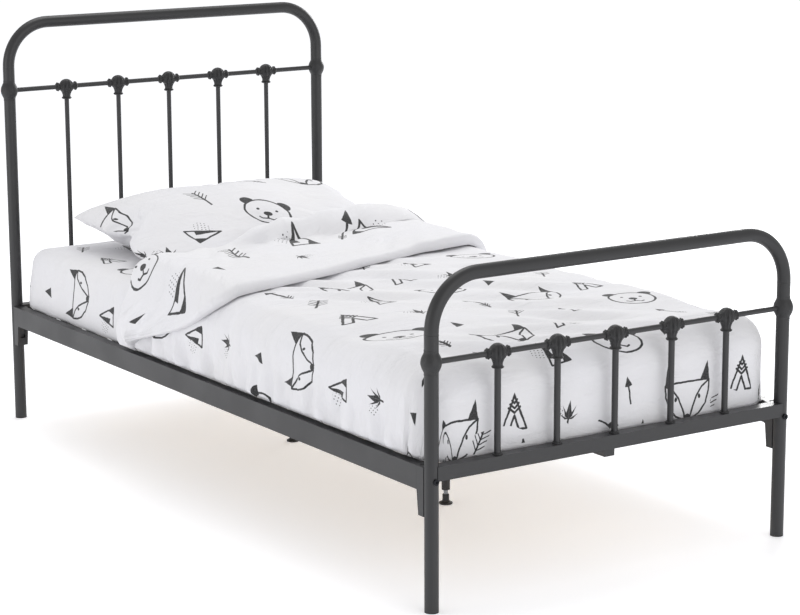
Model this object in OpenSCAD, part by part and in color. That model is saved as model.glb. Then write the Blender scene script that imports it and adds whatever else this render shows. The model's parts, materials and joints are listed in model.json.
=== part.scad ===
/* [Overall] */
// Width of the mattress that the bed is made for, as sold
mattress_w = 900; // [700:10:1200]
// Length of the mattress that the bed is made for, as sold
mattress_l = 1900; // [1400:10:2100]
// Height of the head hoop's top bar, to its centre line
head_h = 1050; // [960:5:1300]
// Height of the foot hoop's top bar, to its centre line
foot_h = 696; // [680:2:900]
// Height of the head end's cross bar, to its centre line
head_bar_z = 877; // [780:1:880]
// Height of the foot end's cross bar, to its centre line
foot_bar_z = 523; // [510:1:540]

/* [Hoops] */
// Outer diameter of the hoops' tube
tube_d = 30; // [26:1:34]
// Wall thickness of all the tubes
tube_wall = 1.5; // [1:0.1:2]
// Bend radius of the hoops, to the tube's centre line
bend_r = 113; // [80:1:120]
// Diameter of the ball on each post, where the cross bar meets it
knob_d = 43.5; // [38:0.5:44]

/* [Bars and spindles] */
// Diameter of the two cross bars
bar_d = 12; // [10:0.5:13]
// Diameter of the head end's spindles
head_spindle_d = 12; // [10:0.5:14]
// Diameter of the foot end's spindles
foot_spindle_d = 14; // [10:0.5:15]
// Distance from a post to the spindle beside it, centre to centre
spindle_end_gap = 164; // [110:1:170]

/* [Crossing castings] */
// Diameter of a casting's ball
cast_ball_d = 39; // [36:0.5:39]
// Length of a casting along the cross bar
cast_l = 62; // [50:1:70]
// Drop from the cross bar's centre line to the end of a casting's socket
cast_drop = 34; // [28:1:36]

/* [Rails] */
// Height of the side rails' top edge
rail_top = 305; // [280:1:320]
// Height of a side rail's section
rail_h = 50; // [42:1:54]
// Width of a side rail's section
rail_w = 25; // [20:1:26]
// Side of the square end rails
end_rail = 30; // [26:1:32]
// Height of the end rails' top face
end_rail_top = 308; // [285:1:322]

/* [Slats and centre support] */
// Width of a slat
slat_w = 55; // [45:1:65]
// Thickness of a slat
slat_t = 8; // [7:0.5:9]
// Distance from the posts' centre line to the first slat's centre
slat_end_gap = 101; // [95:1:120]
// Distance between the two centre legs
leg_spacing = 690; // [500:5:760]
// Diameter of a centre leg's tube
leg_d = 20; // [19:0.5:25]

/* [Bedding] */
// Thickness of the mattress
mattress_t = 158; // [120:1:170]
// Thickness of the duvet where it lies flat
duvet_t = 38; // [25:1:45]
// Length of the pillow, across the bed
pillow_l = 750; // [500:10:760]
// Depth of the pillow, along the bed
pillow_w = 505; // [400:5:520]
// Height of the pillow's crown
pillow_h = 131; // [100:1:150]

/* [Hidden] */
$fn = 48;
spindle_n = 5;
slat_n = 13;
knobs = ["left", "right"];

// Places shared by the sub-parts
tube_r = tube_d / 2;
post_x = (mattress_w + 40) / 2;
post_y = (mattress_l + 42) / 2;
spindle_pitch = 2 * (post_x - spindle_end_gap) / (spindle_n - 1);
slat_pitch = 2 * (post_y - slat_end_gap) / (slat_n - 1);
rail_x = post_x + 2;
rail_in = rail_x - rail_w / 2;
rail_bot = rail_top - rail_h;
foot_t = 3;
bolt_z = rail_bot + 23;
bolt_r = 4;
skin = 1.2;
gap = 0.4;

// Rail fastening: receiver on the post, hook on the rail
recv_w = 29;
recv_out = tube_r + 18;
recv_low = rail_bot - 53;
plate_t = 4;
rail_start = recv_out + plate_t + 0.2;

// Slat deck, from the rail's top edge downwards
holder_top = rail_top - 5;
slat_top = holder_top - 3;
slat_bot = slat_top - slat_t;
holder_l = 40;
holder_wall = 4;
beam_w = 20;
beam_h = 30;
beam_top = slat_bot - 3;
beam_bot = beam_top - beam_h;
saddle_t = 3;
end_rail_in = post_y - end_rail / 2;

// Levelling feet of the centre legs
leg_bot = 38;
stud_r = 5;
run_fit = 0.05;
pad_r = 16;
pad_h = 24;

// Bedding stack
mat_half_w = mattress_w / 2 - 5;
mat_foot_y = -post_y + 36;
mat_head_y = post_y - 22;
mat_z = holder_top + 0.8 + skin;
mat_top = mat_z + mattress_t;
bed_top = mat_top + skin;
pillow_x = 39;
pillow_head_y = post_y - 66;
pillow_foot_y = pillow_head_y - pillow_w;
duvet_side = mat_half_w + skin + 28;
duvet_foot_y = -post_y + 23.5;
duvet_low = rail_top + 4;
fold_y = pillow_foot_y - 62;

function arc(cx, cy, r, a0, a1, n) =
    [for (i = [0:n]) [cx + r * cos(a0 + (a1 - a0) * i / n), cy + r * sin(a0 + (a1 - a0) * i / n)]];

// Outline of a rectangle with rounded corners
function rounded(x0, x1, y0, y1, r) = concat(
    arc(x1 - r, y1 - r, r, 0, 90, 6),
    arc(x0 + r, y1 - r, r, 90, 180, 6),
    arc(x0 + r, y0 + r, r, 180, 270, 6),
    arc(x1 - r, y0 + r, r, 270, 360, 6)
);

function spindle_x(i) = (i - (spindle_n + 1) / 2) * spindle_pitch;
function slat_y(i) = (i - (slat_n - 1) / 2) * slat_pitch;

module steel() {
    color("#3A3A3D") children();
}

module zinc() {
    color("#8C8F94") children();
}

module plastic() {
    color("#1F1F21") children();
}

module cotton() {
    color("#F2F2F3") children();
}

// Lays a (y, z) outline across the bed, from x0 to x1
module across(x0, x1, outline) {
    translate([x0, 0, 0])
        rotate([90, 0, 90])
            linear_extrude(height = x1 - x0) polygon(outline);
}

// A rod along Y whose near end is at the origin
module rod_y(r, l) {
    rotate([-90, 0, 0]) cylinder(r = r, h = l);
}

// Solid path of a hoop: two posts, two bends and the top bar
module hoop_path(r, top, bottom) {
    for (s = [-1, 1]) {
        translate([s * post_x, 0, bottom]) cylinder(r = r, h = top - bend_r - bottom);
    }
    for (m = [0, 1]) {
        mirror([m, 0, 0])
            translate([post_x - bend_r, 0, top - bend_r])
                rotate([90, 0, 0])
                    rotate_extrude(angle = 90) translate([bend_r, 0]) circle(r = r);
    }
    translate([-post_x + bend_r, 0, top])
        rotate([0, 90, 0]) cylinder(r = r, h = 2 * (post_x - bend_r));
}

// Bent tube hoop with the bolt holes of the rail fastenings
module hoop(top) {
    difference() {
        hoop_path(tube_r, top, foot_t);
        hoop_path(tube_r - tube_wall, top, foot_t - 1);
        for (s = [-1, 1]) {
            translate([s * post_x, -tube_r - 1, bolt_z]) rod_y(bolt_r + 0.2, tube_d + 2);
        }
    }
}

// Cross bar between a pair of posts
module cross_bar() {
    l = 2 * (post_x - tube_r - 0.3);
    translate([-l / 2, 0, 0]) rotate([0, 90, 0]) cylinder(d = bar_d, h = l);
}

// Ball cast round a post, bored for the post and for the end of the cross bar
module post_knob(side) {
    difference() {
        sphere(d = knob_d);
        translate([0, 0, -knob_d]) cylinder(r = tube_r, h = 2 * knob_d);
        rotate([0, -90 * side, 0]) cylinder(d = bar_d, h = knob_d);
    }
}

// Casting that joins a spindle to the cross bar: ball, two collars and a socket
module casting(spindle_d) {
    half = cast_l / 2;
    collar_r = bar_d / 2 + 6.5;
    difference() {
        union() {
            sphere(d = cast_ball_d);
            rotate([0, 90, 0])
                rotate_extrude() polygon([
                    [0, -half], [collar_r - 3, -half], [collar_r, -half + 2], [collar_r, -half + 7],
                    [collar_r - 2, -half + 9], [collar_r - 2, half - 9], [collar_r, half - 7],
                    [collar_r, half - 2], [collar_r - 3, half], [0, half]
                ]);
            rotate_extrude() polygon([
                [0, -cast_drop], [11, -cast_drop], [13, -cast_drop + 2], [13, -cast_drop + 6],
                [11.5, -cast_drop + 8], [15, -10], [0, -10]
            ]);
        }
        translate([-cast_l, 0, 0]) rotate([0, 90, 0]) cylinder(d = bar_d, h = 2 * cast_l);
        translate([0, 0, -cast_drop - 1]) cylinder(d = spindle_d, h = cast_drop - bar_d / 2);
    }
}

// Round spindle from the end rail up into its casting
module spindle(d, bar_z) {
    translate([0, 0, end_rail_top]) cylinder(d = d, h = bar_z - bar_d / 2 - 1 - end_rail_top);
}

// Square tube between two posts, its ends cut to the posts' round
module end_rail() {
    half = post_x - 6;
    difference() {
        translate([-half, -end_rail / 2, end_rail_top - end_rail])
            cube([2 * half, end_rail, end_rail]);
        translate([-half - 1, -end_rail / 2 + tube_wall, end_rail_top - end_rail + tube_wall])
            cube([2 * half + 2, end_rail - 2 * tube_wall, end_rail - 2 * tube_wall]);
        for (s = [-1, 1]) {
            translate([s * post_x, 0, end_rail_top - end_rail - 1]) cylinder(r = tube_r, h = end_rail + 2);
        }
    }
}

// Rectangular tube with a peg hole for each slat holder in its inner wall
module side_rail(side) {
    l = 2 * (post_y - rail_start);
    difference() {
        translate([side * rail_x - rail_w / 2, -l / 2, rail_bot]) cube([rail_w, l, rail_h]);
        translate([side * rail_x - rail_w / 2 + tube_wall, -l / 2 - 1, rail_bot + tube_wall])
            cube([rail_w - 2 * tube_wall, l + 2, rail_h - 2 * tube_wall]);
        for (i = [0:slat_n - 1]) {
            translate([side * (rail_in - 1), slat_y(i), slat_bot + slat_t / 2])
                rotate([0, 90 * side, 0]) cylinder(r = 4.1, h = tube_wall + 2);
        }
    }
}

// Tapered receiver welded to a post, with a slot that takes the rail's hook. On its inner side,
// given as -1 or 1 along x, it is cut back to the face and the underside of the end rail
module receiver(inner) {
    difference() {
        across(-recv_w / 2, recv_w / 2, [
            [tube_r - 7, recv_low], [recv_out - 6, recv_low], [recv_out, rail_bot],
            [recv_out, rail_top], [tube_r - 7, rail_top]
        ]);
        translate([0, 0, recv_low - 1]) cylinder(r = tube_r, h = rail_top - recv_low + 2);
        translate([-6.5, recv_out - 5, rail_bot - 33]) cube([13, 6, rail_h + 34]);
        translate([-9.5, recv_out - 10, rail_bot - 33]) cube([19, 6, rail_h + 34]);
        translate([0, 0, bolt_z]) rod_y(bolt_r + 0.2, recv_out);
        translate([inner > 0 ? 0 : -recv_w, 0, end_rail_top - end_rail])
            cube([recv_w, end_rail / 2, end_rail]);
    }
}

// End plate of a side rail with the tongue that drops into the receiver
module rail_hook() {
    difference() {
        union() {
            translate([-recv_w / 2, recv_out + 0.2, rail_bot]) cube([recv_w, plate_t, rail_h]);
            translate([-6.3, recv_out - 4.2, rail_bot]) cube([12.6, 5.4, rail_h - 1]);
            translate([-9.3, recv_out - 9.7, rail_bot - 23]) cube([18.6, 5.5, rail_h + 22]);
        }
        translate([0, 0, bolt_z]) rod_y(bolt_r, recv_out + plate_t + 1);
    }
}

// Button head bolt along Y, with a six-sided socket; the head's outer face is at y = -4
module rail_bolt() {
    difference() {
        union() {
            translate([0, -4, 0]) rod_y(6.5, 4);
            rod_y(bolt_r, tube_d + 20);
        }
        translate([0, -5, 0]) rotate([-90, 0, 0]) cylinder(r = 2.9, h = 3.5, $fn = 6);
    }
}

// Plug that closes a post and stands on the floor
module post_foot() {
    cylinder(r = tube_r, h = foot_t);
    translate([0, 0, foot_t]) cylinder(r = tube_r - tube_wall, h = 20);
}

module centre_beam() {
    half = end_rail_in - saddle_t - 0.5;
    difference() {
        translate([-beam_w / 2, -half, beam_bot]) cube([beam_w, 2 * half, beam_h]);
        translate([-beam_w / 2 + tube_wall, -half - 1, beam_bot + tube_wall])
            cube([beam_w - 2 * tube_wall, 2 * half + 2, beam_h - 2 * tube_wall]);
    }
}

// Bracket on the inside of an end rail that the beam drops into
module beam_saddle() {
    w = beam_w + 2 * saddle_t + gap;
    low = beam_bot - saddle_t;
    difference() {
        translate([-w / 2, end_rail_in - 42, low]) cube([w, 42, end_rail_top - 2 - low]);
        translate([-w / 2 + saddle_t, end_rail_in - 43, beam_bot])
            cube([w - 2 * saddle_t, 43 - saddle_t, 80]);
        translate([-w / 2 - 1, end_rail_in - 43, beam_top - 4]) cube([w + 2, 43 - saddle_t, 80]);
    }
}

// Tube leg with the plate that carries the beam
module centre_leg() {
    difference() {
        translate([0, 0, leg_bot]) cylinder(d = leg_d, h = beam_bot - 3 - leg_bot);
        translate([0, 0, leg_bot - 1]) cylinder(r = leg_d / 2 - tube_wall, h = beam_bot - 3 - leg_bot + 2);
    }
    translate([-22, -22, beam_bot - 3]) cube([44, 44, 3]);
}

// Threaded plug in the lower end of a centre leg
module leg_insert() {
    difference() {
        union() {
            translate([0, 0, leg_bot - 3]) cylinder(d = leg_d, h = 3);
            translate([0, 0, leg_bot]) cylinder(r = leg_d / 2 - tube_wall, h = 20);
        }
        translate([0, 0, leg_bot - 4]) cylinder(r = stud_r + run_fit, h = 26);
    }
}

module foot_stud() {
    translate([0, 0, 9.2]) cylinder(r = stud_r, h = 76);
}

// Bell shaped levelling pad, bored for its stud
module foot_pad() {
    difference() {
        rotate_extrude() polygon(concat(
            [[0, 0], [pad_r - 1, 0], [pad_r, 1], [pad_r, 4]],
            arc(pad_r, 12, 8, 270, 180, 8),
            [[8, pad_h - 1], [7, pad_h], [0, pad_h]]
        ));
        translate([0, 0, 9]) cylinder(r = stud_r + run_fit, h = pad_h);
    }
}

module slat() {
    half = rail_in - holder_wall - 1;
    translate([-half, -slat_w / 2, slat_bot]) cube([2 * half, slat_w, slat_t]);
}

// Cap that grips a slat's end and pegs into the side rail
module slat_holder() {
    difference() {
        translate([rail_in - holder_l, -slat_w / 2 - 4, slat_bot - 3])
            cube([holder_l, slat_w + 8, slat_t + 6]);
        translate([rail_in - holder_l - 1, -slat_w / 2 - 0.2, slat_bot - 0.2])
            cube([holder_l - holder_wall + 1, slat_w + gap, slat_t + gap]);
    }
    translate([rail_in, 0, slat_bot + slat_t / 2]) rotate([0, 90, 0]) cylinder(r = 4, h = 8);
}

// Clip that keeps a slat in place on the beam
module centre_clip() {
    difference() {
        translate([-12, -slat_w / 2 - 4, beam_top]) cube([24, slat_w + 8, slat_top - beam_top]);
        translate([-13, -slat_w / 2 - 0.2, slat_bot]) cube([26, slat_w + gap, slat_t + 1]);
    }
}

module mattress() {
    translate([0, 0, mat_z])
        linear_extrude(height = mattress_t)
            polygon(rounded(-mat_half_w, mat_half_w, mat_foot_y, mat_head_y, 45));
}

// Thin cover over the mattress, its hem turned under
module fitted_sheet() {
    hem = 60;
    difference() {
        translate([0, 0, mat_z - skin])
            linear_extrude(height = mattress_t + 2 * skin)
                polygon(rounded(
                    -mat_half_w - skin, mat_half_w + skin, mat_foot_y - skin, mat_head_y + skin, 45 + skin
                ));
        mattress();
        translate([-mat_half_w + hem, mat_foot_y + hem, mat_z - skin - 1])
            cube([2 * (mat_half_w - hem), mat_head_y - mat_foot_y - 2 * hem, skin + 2]);
    }
}

// Height of the pillow's upper side at three places along its depth
pillow_nose = bed_top + gap + 18;
pillow_slope = bed_top + gap + 0.75 * pillow_h;
pillow_crown = bed_top + gap + pillow_h;

module pillow() {
    low = bed_top + gap;
    across(pillow_x - pillow_l / 2, pillow_x + pillow_l / 2, [
        [pillow_foot_y, low], [pillow_head_y, low], [pillow_head_y, low + 0.55 * pillow_h],
        [pillow_head_y - 50, pillow_crown], [pillow_foot_y + 250, pillow_slope],
        [pillow_foot_y, pillow_nose]
    ]);
}

// Outline of the duvet seen from above, its head edge slanted across the pillow
function duvet_outline() = [
    [-duvet_side, duvet_foot_y], [duvet_side, duvet_foot_y], [duvet_side, pillow_foot_y + 317],
    [0, pillow_foot_y + 240], [-0.7 * duvet_side, pillow_foot_y - 12], [-duvet_side, fold_y]
];

module duvet() {
    low = bed_top + gap;
    over = gap + 0.6;
    intersection() {
        translate([0, 0, low - 5]) linear_extrude(height = 300) polygon(duvet_outline());
        across(-duvet_side - 1, duvet_side + 1, [
            [duvet_foot_y - 1, low], [pillow_foot_y - over, low],
            [pillow_foot_y - over, pillow_nose + over],
            [pillow_foot_y + 250, pillow_slope + over], [pillow_foot_y + 350, pillow_slope + 20],
            [pillow_foot_y + 350, pillow_slope + duvet_t], [pillow_foot_y + 230, pillow_slope + duvet_t],
            [pillow_foot_y - 60, low + duvet_t], [duvet_foot_y - 1, low + duvet_t]
        ]);
    }
    for (s = [[-1, fold_y], [1, pillow_foot_y + 290]]) {
        x0 = mat_half_w + skin + gap;
        translate([s[0] > 0 ? x0 : -duvet_side, duvet_foot_y, duvet_low])
            cube([duvet_side - x0, s[1] - duvet_foot_y, low + duvet_t - 5 - duvet_low]);
    }
    translate([-duvet_side + 1, duvet_foot_y, duvet_low])
        cube([2 * duvet_side - 2, mat_foot_y - skin - gap - duvet_foot_y, low + duvet_t - 5 - duvet_low]);
}

module at_head() {
    translate([0, post_y, 0]) children();
}

module at_foot() {
    translate([0, -post_y, 0]) children();
}

// Puts a rail fitting, drawn for a post at the origin with the rail towards +Y, on its post
module at_post(end, side) {
    translate([side * post_x, -end * post_y, 0]) rotate([0, 0, end > 0 ? 0 : 180]) children();
}

steel() at_head() hoop(head_h);  // head_hoop
steel() at_foot() hoop(foot_h);  // foot_hoop
steel() at_head() translate([0, 0, head_bar_z]) cross_bar();  // head_cross_bar
steel() at_foot() translate([0, 0, foot_bar_z]) cross_bar();  // foot_cross_bar
for (s = [0, 1]) {
    side = 2 * s - 1;
    steel() at_head() translate([side * post_x, 0, head_bar_z]) post_knob(side);
    steel() at_foot() translate([side * post_x, 0, foot_bar_z]) post_knob(side);
    steel() side_rail(side);
    steel() at_post(-1, side) receiver(side);
    steel() at_post(1, side) receiver(-side);
    steel() at_post(-1, side) rail_hook();
    steel() at_post(1, side) rail_hook();
}
for (i = [1:spindle_n]) {
    steel() at_head() translate([spindle_x(i), 0, head_bar_z]) casting(head_spindle_d);
    steel() at_foot() translate([spindle_x(i), 0, foot_bar_z]) casting(foot_spindle_d);
    steel() at_head() translate([spindle_x(i), 0, 0]) spindle(head_spindle_d, head_bar_z);
    steel() at_foot() translate([spindle_x(i), 0, 0]) spindle(foot_spindle_d, foot_bar_z);
}
steel() at_head() end_rail();  // head_end_rail
steel() at_foot() end_rail();  // foot_end_rail
union() {  // rail_bolts
    for (end = [-1, 1], side = [-1, 1]) {
        steel() at_post(end, side) translate([0, -tube_r, bolt_z]) rail_bolt();
    }
}
union() {  // post_feet
    for (end = [-1, 1], side = [-1, 1]) {
        plastic() at_post(end, side) post_foot();
    }
}
steel() centre_beam();
steel() beam_saddle();  // head_beam_saddle
steel() rotate([0, 0, 180]) beam_saddle();  // foot_beam_saddle
steel() translate([0, leg_spacing / 2, 0]) centre_leg();  // centre_leg_head
steel() translate([0, -leg_spacing / 2, 0]) centre_leg();  // centre_leg_foot
union() {  // leg_inserts
    for (s = [-1, 1]) {
        plastic() translate([0, s * leg_spacing / 2, 0]) leg_insert();
    }
}
zinc() translate([0, leg_spacing / 2, 0]) foot_stud();  // foot_stud_head
zinc() translate([0, -leg_spacing / 2, 0]) foot_stud();  // foot_stud_foot
plastic() translate([0, leg_spacing / 2, 0]) foot_pad();  // foot_pad_head
plastic() translate([0, -leg_spacing / 2, 0]) foot_pad();  // foot_pad_foot
union() {  // slats
    for (i = [0:slat_n - 1]) {
        color("#D9BE93") translate([0, slat_y(i), 0]) slat();
    }
}
union() {  // slat_holders
    for (i = [0:slat_n - 1], m = [0, 1]) {
        plastic() translate([0, slat_y(i), 0]) mirror([m, 0, 0]) slat_holder();
    }
}
union() {  // centre_clips
    for (i = [0:slat_n - 1]) {
        plastic() translate([0, slat_y(i), 0]) centre_clip();
    }
}
cotton() mattress();
cotton() fitted_sheet();
cotton() pillow();
cotton() duvet();
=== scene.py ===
"""A child's single bed: painted steel tube, a slatted base and printed cotton bedding."""
import enum
import json
import logging
import math
from dataclasses import dataclass
from typing import Callable, Sequence

import bmesh
import bpy
import numpy as np
from bpy.types import Material, Mesh, Node, NodeSocket, NodeTree, Object
from mathutils import Matrix, Vector


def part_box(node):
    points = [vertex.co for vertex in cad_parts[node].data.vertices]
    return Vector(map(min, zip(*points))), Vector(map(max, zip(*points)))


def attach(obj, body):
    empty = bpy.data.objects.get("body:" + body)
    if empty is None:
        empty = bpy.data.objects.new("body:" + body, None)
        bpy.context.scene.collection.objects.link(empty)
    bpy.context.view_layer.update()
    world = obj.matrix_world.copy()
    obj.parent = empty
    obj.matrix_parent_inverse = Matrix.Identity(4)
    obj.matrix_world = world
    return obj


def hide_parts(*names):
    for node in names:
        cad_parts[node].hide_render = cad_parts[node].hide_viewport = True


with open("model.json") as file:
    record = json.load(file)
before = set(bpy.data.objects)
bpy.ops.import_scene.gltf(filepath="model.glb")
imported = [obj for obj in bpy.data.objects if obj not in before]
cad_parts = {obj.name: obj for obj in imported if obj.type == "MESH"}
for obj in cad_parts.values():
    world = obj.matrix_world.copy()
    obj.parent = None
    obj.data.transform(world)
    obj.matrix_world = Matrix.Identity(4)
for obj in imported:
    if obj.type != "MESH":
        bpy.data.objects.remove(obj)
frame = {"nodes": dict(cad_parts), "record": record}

LOG = logging.getLogger("bed")
PRINT_MAP = "Print"
# A wave texture of this scale has about one stripe a metre.
STRIPE = 0.31
Source = Node | NodeSocket
Pair = tuple[float, float]
Solid = tuple[np.ndarray, np.ndarray]


# ---------------------------------------------------------------- small tools

def linear(code: str) -> tuple[float, float, float, float]:
    """Turn an sRGB hex colour into the linear colour that a shader takes.

    Args:
        code: The colour as "#RRGGBB".

    Returns:
        Red, green, blue and an alpha of one, in linear light.
    """
    srgb = np.array([int(code[i:i + 2], 16) for i in (1, 3, 5)]) / 255.0
    light = np.where(srgb <= 0.04045, srgb / 12.92, ((srgb + 0.055) / 1.055) ** 2.4)
    return float(light[0]), float(light[1]), float(light[2]), 1.0


def feed(tree: NodeTree, node: Node, values: dict) -> Node:
    """Fill a node's inputs, each by name or number.

    Args:
        tree: The node tree.
        node: The node to fill.
        values: For each input a constant, the output that feeds it, or a node whose first output does.

    Returns:
        The same node.
    """
    for key, value in values.items():
        if isinstance(value, Node):
            value = value.outputs[0]
        if isinstance(value, NodeSocket):
            tree.links.new(value, node.inputs[key])
        else:
            node.inputs[key].default_value = value
    return node


def put(tree: NodeTree, kind: str, values: dict | None = None,
        **settings: object) -> Node:
    """Add a node to a tree, with its settings, its values and its links.

    Args:
        tree: The node tree.
        kind: The node's type, without the "ShaderNode" that every type starts with.
        values: What fills its inputs.
        **settings: The node's own properties.

    Returns:
        The new node.
    """
    node = tree.nodes.new("ShaderNode" + kind)
    for name, value in settings.items():
        setattr(node, name, value)
    return feed(tree, node, values or {})


def smooth(t: np.ndarray | float) -> np.ndarray:
    """Ease a ramp from 0 to 1 with flat ends: three times its square less twice its cube."""
    t = np.clip(t, 0.0, 1.0)
    return t * t * (3.0 - 2.0 * t)


def run(x: np.ndarray, knots: Sequence[Pair], blur: float) -> np.ndarray:
    """Read a line drawn through a few knots, with its corners rounded off.

    The value at x is the mean of the straight-sided line over a window round x, weighted by a bell.

    Args:
        x: Where to read the line.
        knots: The line's corners as (place, value), in rising order.
        blur: The bell's width.

    Returns:
        The line's value at every x.
    """
    places, values = np.array(knots).T
    steps = np.linspace(-2.0, 2.0, 17)
    weights = np.exp(-steps ** 2)
    reads = np.interp(x[..., None] + steps * blur, places, values)
    return (reads * weights).sum(-1) / weights.sum()


@dataclass(frozen=True)
class Waves:
    """A soft uneven field: many flat waves summed, whose directions and lengths are spread a little."""

    seed: int
    heading: float
    spread: float
    length: Pair
    count: int = 22

    def __call__(self, x: np.ndarray, y: np.ndarray) -> np.ndarray:
        """Height of the field, about one at its crests.

        Each wave is the cosine of the distance along its own direction over its own length.

        Args:
            x: First coordinate, in metres.
            y: Second coordinate, in metres.

        Returns:
            The summed waves, scaled to a spread of one half.
        """
        draw = np.random.default_rng(self.seed)
        angle = self.heading + draw.normal(0.0, self.spread, self.count)
        size = draw.uniform(*self.length, self.count)
        start = draw.uniform(0.0, 2.0 * math.pi, self.count)
        total = np.zeros(np.broadcast(x, y).shape)
        for a, s, p in zip(angle, size, start):
            total += np.cos(2.0 * math.pi * (x * math.cos(a) + y * math.sin(a)) / s + p)
        return total / math.sqrt(2.0 * self.count)


def quads(rows: int, columns: int, turn: bool = False) -> np.ndarray:
    """Corner numbers of the faces of a grid.

    Args:
        rows: Number of points along the first way.
        columns: Number of points along the second way.
        turn: Whether the faces look the other way.

    Returns:
        An array of four point numbers per face.
    """
    index = np.arange(rows * columns).reshape(rows, columns)
    faces = np.stack([index[:-1, :-1], index[1:, :-1], index[1:, 1:], index[:-1, 1:]], -1)
    faces = faces.reshape(-1, 4)
    return faces[:, ::-1] if turn else faces


def grid_normals(points: np.ndarray) -> np.ndarray:
    """Unit normals of a grid of points: the cross product of its two slopes.

    Args:
        points: Grid of points, rows by columns by three.

    Returns:
        A grid of unit vectors.
    """
    normal = np.cross(np.gradient(points, axis=0), np.gradient(points, axis=1))
    return normal / np.maximum(np.linalg.norm(normal, axis=-1, keepdims=True), 1e-12)


def relax(points: np.ndarray, times: int, rim: bool = False) -> np.ndarray:
    """Soften a grid: each point moves half way to the mean of its four neighbours, again and again.

    Args:
        points: Grid of points or values.
        times: Number of passes.
        rim: Whether points on the border slide along it as well.

    Returns:
        The softened grid.
    """
    out = points.copy()
    for _ in range(times):
        inner = out[1:-1, 1:-1]
        near = (out[:-2, 1:-1] + out[2:, 1:-1] + out[1:-1, :-2] + out[1:-1, 2:]) / 4.0
        edge = out.copy()
        out[1:-1, 1:-1] = (inner + near) / 2.0
        if rim:
            for side in (0, -1):
                out[1:-1, side] = edge[1:-1, side] / 2 + (edge[:-2, side] + edge[2:, side]) / 4
                out[side, 1:-1] = edge[side, 1:-1] / 2 + (edge[side, :-2] + edge[side, 2:]) / 4
    return out


def make_piece(name: str, points: np.ndarray, faces: np.ndarray, flat: np.ndarray | None = None,
               smooth_faces: bool = True) -> Object:
    """Put points and faces into a new object.

    Args:
        name: The object's name.
        points: Points, any grid of triples.
        faces: Point numbers of each face.
        flat: For every corner of every face, its place on the flat cloth in metres.
        smooth_faces: Whether the faces shade smoothly.

    Returns:
        The object, at the origin.
    """
    mesh = bpy.data.meshes.new(name)
    mesh.from_pydata(points.reshape(-1, 3).tolist(), [], faces.tolist())
    if flat is not None:
        layer = mesh.uv_layers.new(name=PRINT_MAP)
        layer.data.foreach_set("uv", flat.astype(np.float32).ravel())
    mesh.polygons.foreach_set("use_smooth", np.full(len(mesh.polygons), smooth_faces))
    mesh.update()
    piece = bpy.data.objects.new(name, mesh)
    bpy.context.scene.collection.objects.link(piece)
    return piece


def applied(piece: Object) -> Object:
    """Make a piece's modifiers part of its mesh and take them off."""
    bpy.context.view_layer.update()
    graph = bpy.context.evaluated_depsgraph_get()
    mesh = bpy.data.meshes.new_from_object(piece.evaluated_get(graph), depsgraph=graph)
    piece.modifiers.clear()
    piece.data = mesh
    return piece


def mesh_points(mesh: Mesh) -> np.ndarray:
    """All points of a mesh as an array of triples."""
    points = np.zeros(len(mesh.vertices) * 3, np.float32)
    mesh.vertices.foreach_get("co", points)
    return points.reshape(-1, 3).astype(float)


def turned(profile: np.ndarray, around: int, lobes: Callable | None = None) -> Solid:
    """Spin a profile round the Z axis.

    A point of the profile at radius r and height z goes to r cos t, r sin t, z for every turn t.
    A closed profile gives a ring; a profile that starts and ends on the axis gives a closed solid.

    Args:
        profile: Pairs of radius and height, in metres.
        around: Number of steps in a turn.
        lobes: Scale of the radius at (turn, height), or None.

    Returns:
        The points and the faces, the last column joined to the first.
    """
    t = np.linspace(0.0, 2.0 * math.pi, around, endpoint=False)[:, None]
    r, z = profile[:, 0][None, :], profile[:, 1][None, :]
    r = r * (lobes(t, z) if lobes else np.ones_like(t))
    points = np.stack([r * np.cos(t), r * np.sin(t), np.broadcast_to(z, r.shape)], -1)
    return points, quads(around + 1, len(profile)) % (around * len(profile))


def grooves(t: np.ndarray) -> np.ndarray:
    """Depth of ten rounded grooves round a turn: one less the size of a cosine of five turns."""
    return 1 - np.abs(np.cos(5 * t))


def weld(piece: Object, reach: float = 1e-5) -> Object:
    """Merge a piece's doubled points and turn its faces outwards."""
    work = bmesh.new()
    work.from_mesh(piece.data)
    bmesh.ops.remove_doubles(work, verts=work.verts, dist=reach)
    bmesh.ops.dissolve_degenerate(work, edges=work.edges, dist=1e-7)
    bmesh.ops.recalc_face_normals(work, faces=work.faces)
    work.to_mesh(piece.data)
    work.free()
    piece.data.polygons.foreach_set("use_smooth", np.full(len(piece.data.polygons), True))
    return piece


def joined(name: str, parts: Sequence[Solid]) -> Object:
    """Put several meshes into one object.

    Args:
        name: The object's name.
        parts: Points and faces of each mesh.

    Returns:
        The object.
    """
    points, faces, count = [], [], 0
    for cloud, corners in parts:
        cloud = cloud.reshape(-1, 3)
        points.append(cloud)
        faces.append(corners + count)
        count += len(cloud)
    return make_piece(name, np.concatenate(points), np.concatenate(faces))


def mid_of(node: str) -> np.ndarray:
    """Middle of a CAD node's box, in metres."""
    low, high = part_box(node)
    return (np.array(low) + np.array(high)) / 2.0


# ------------------------------------------------------------------- finishes

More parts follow.
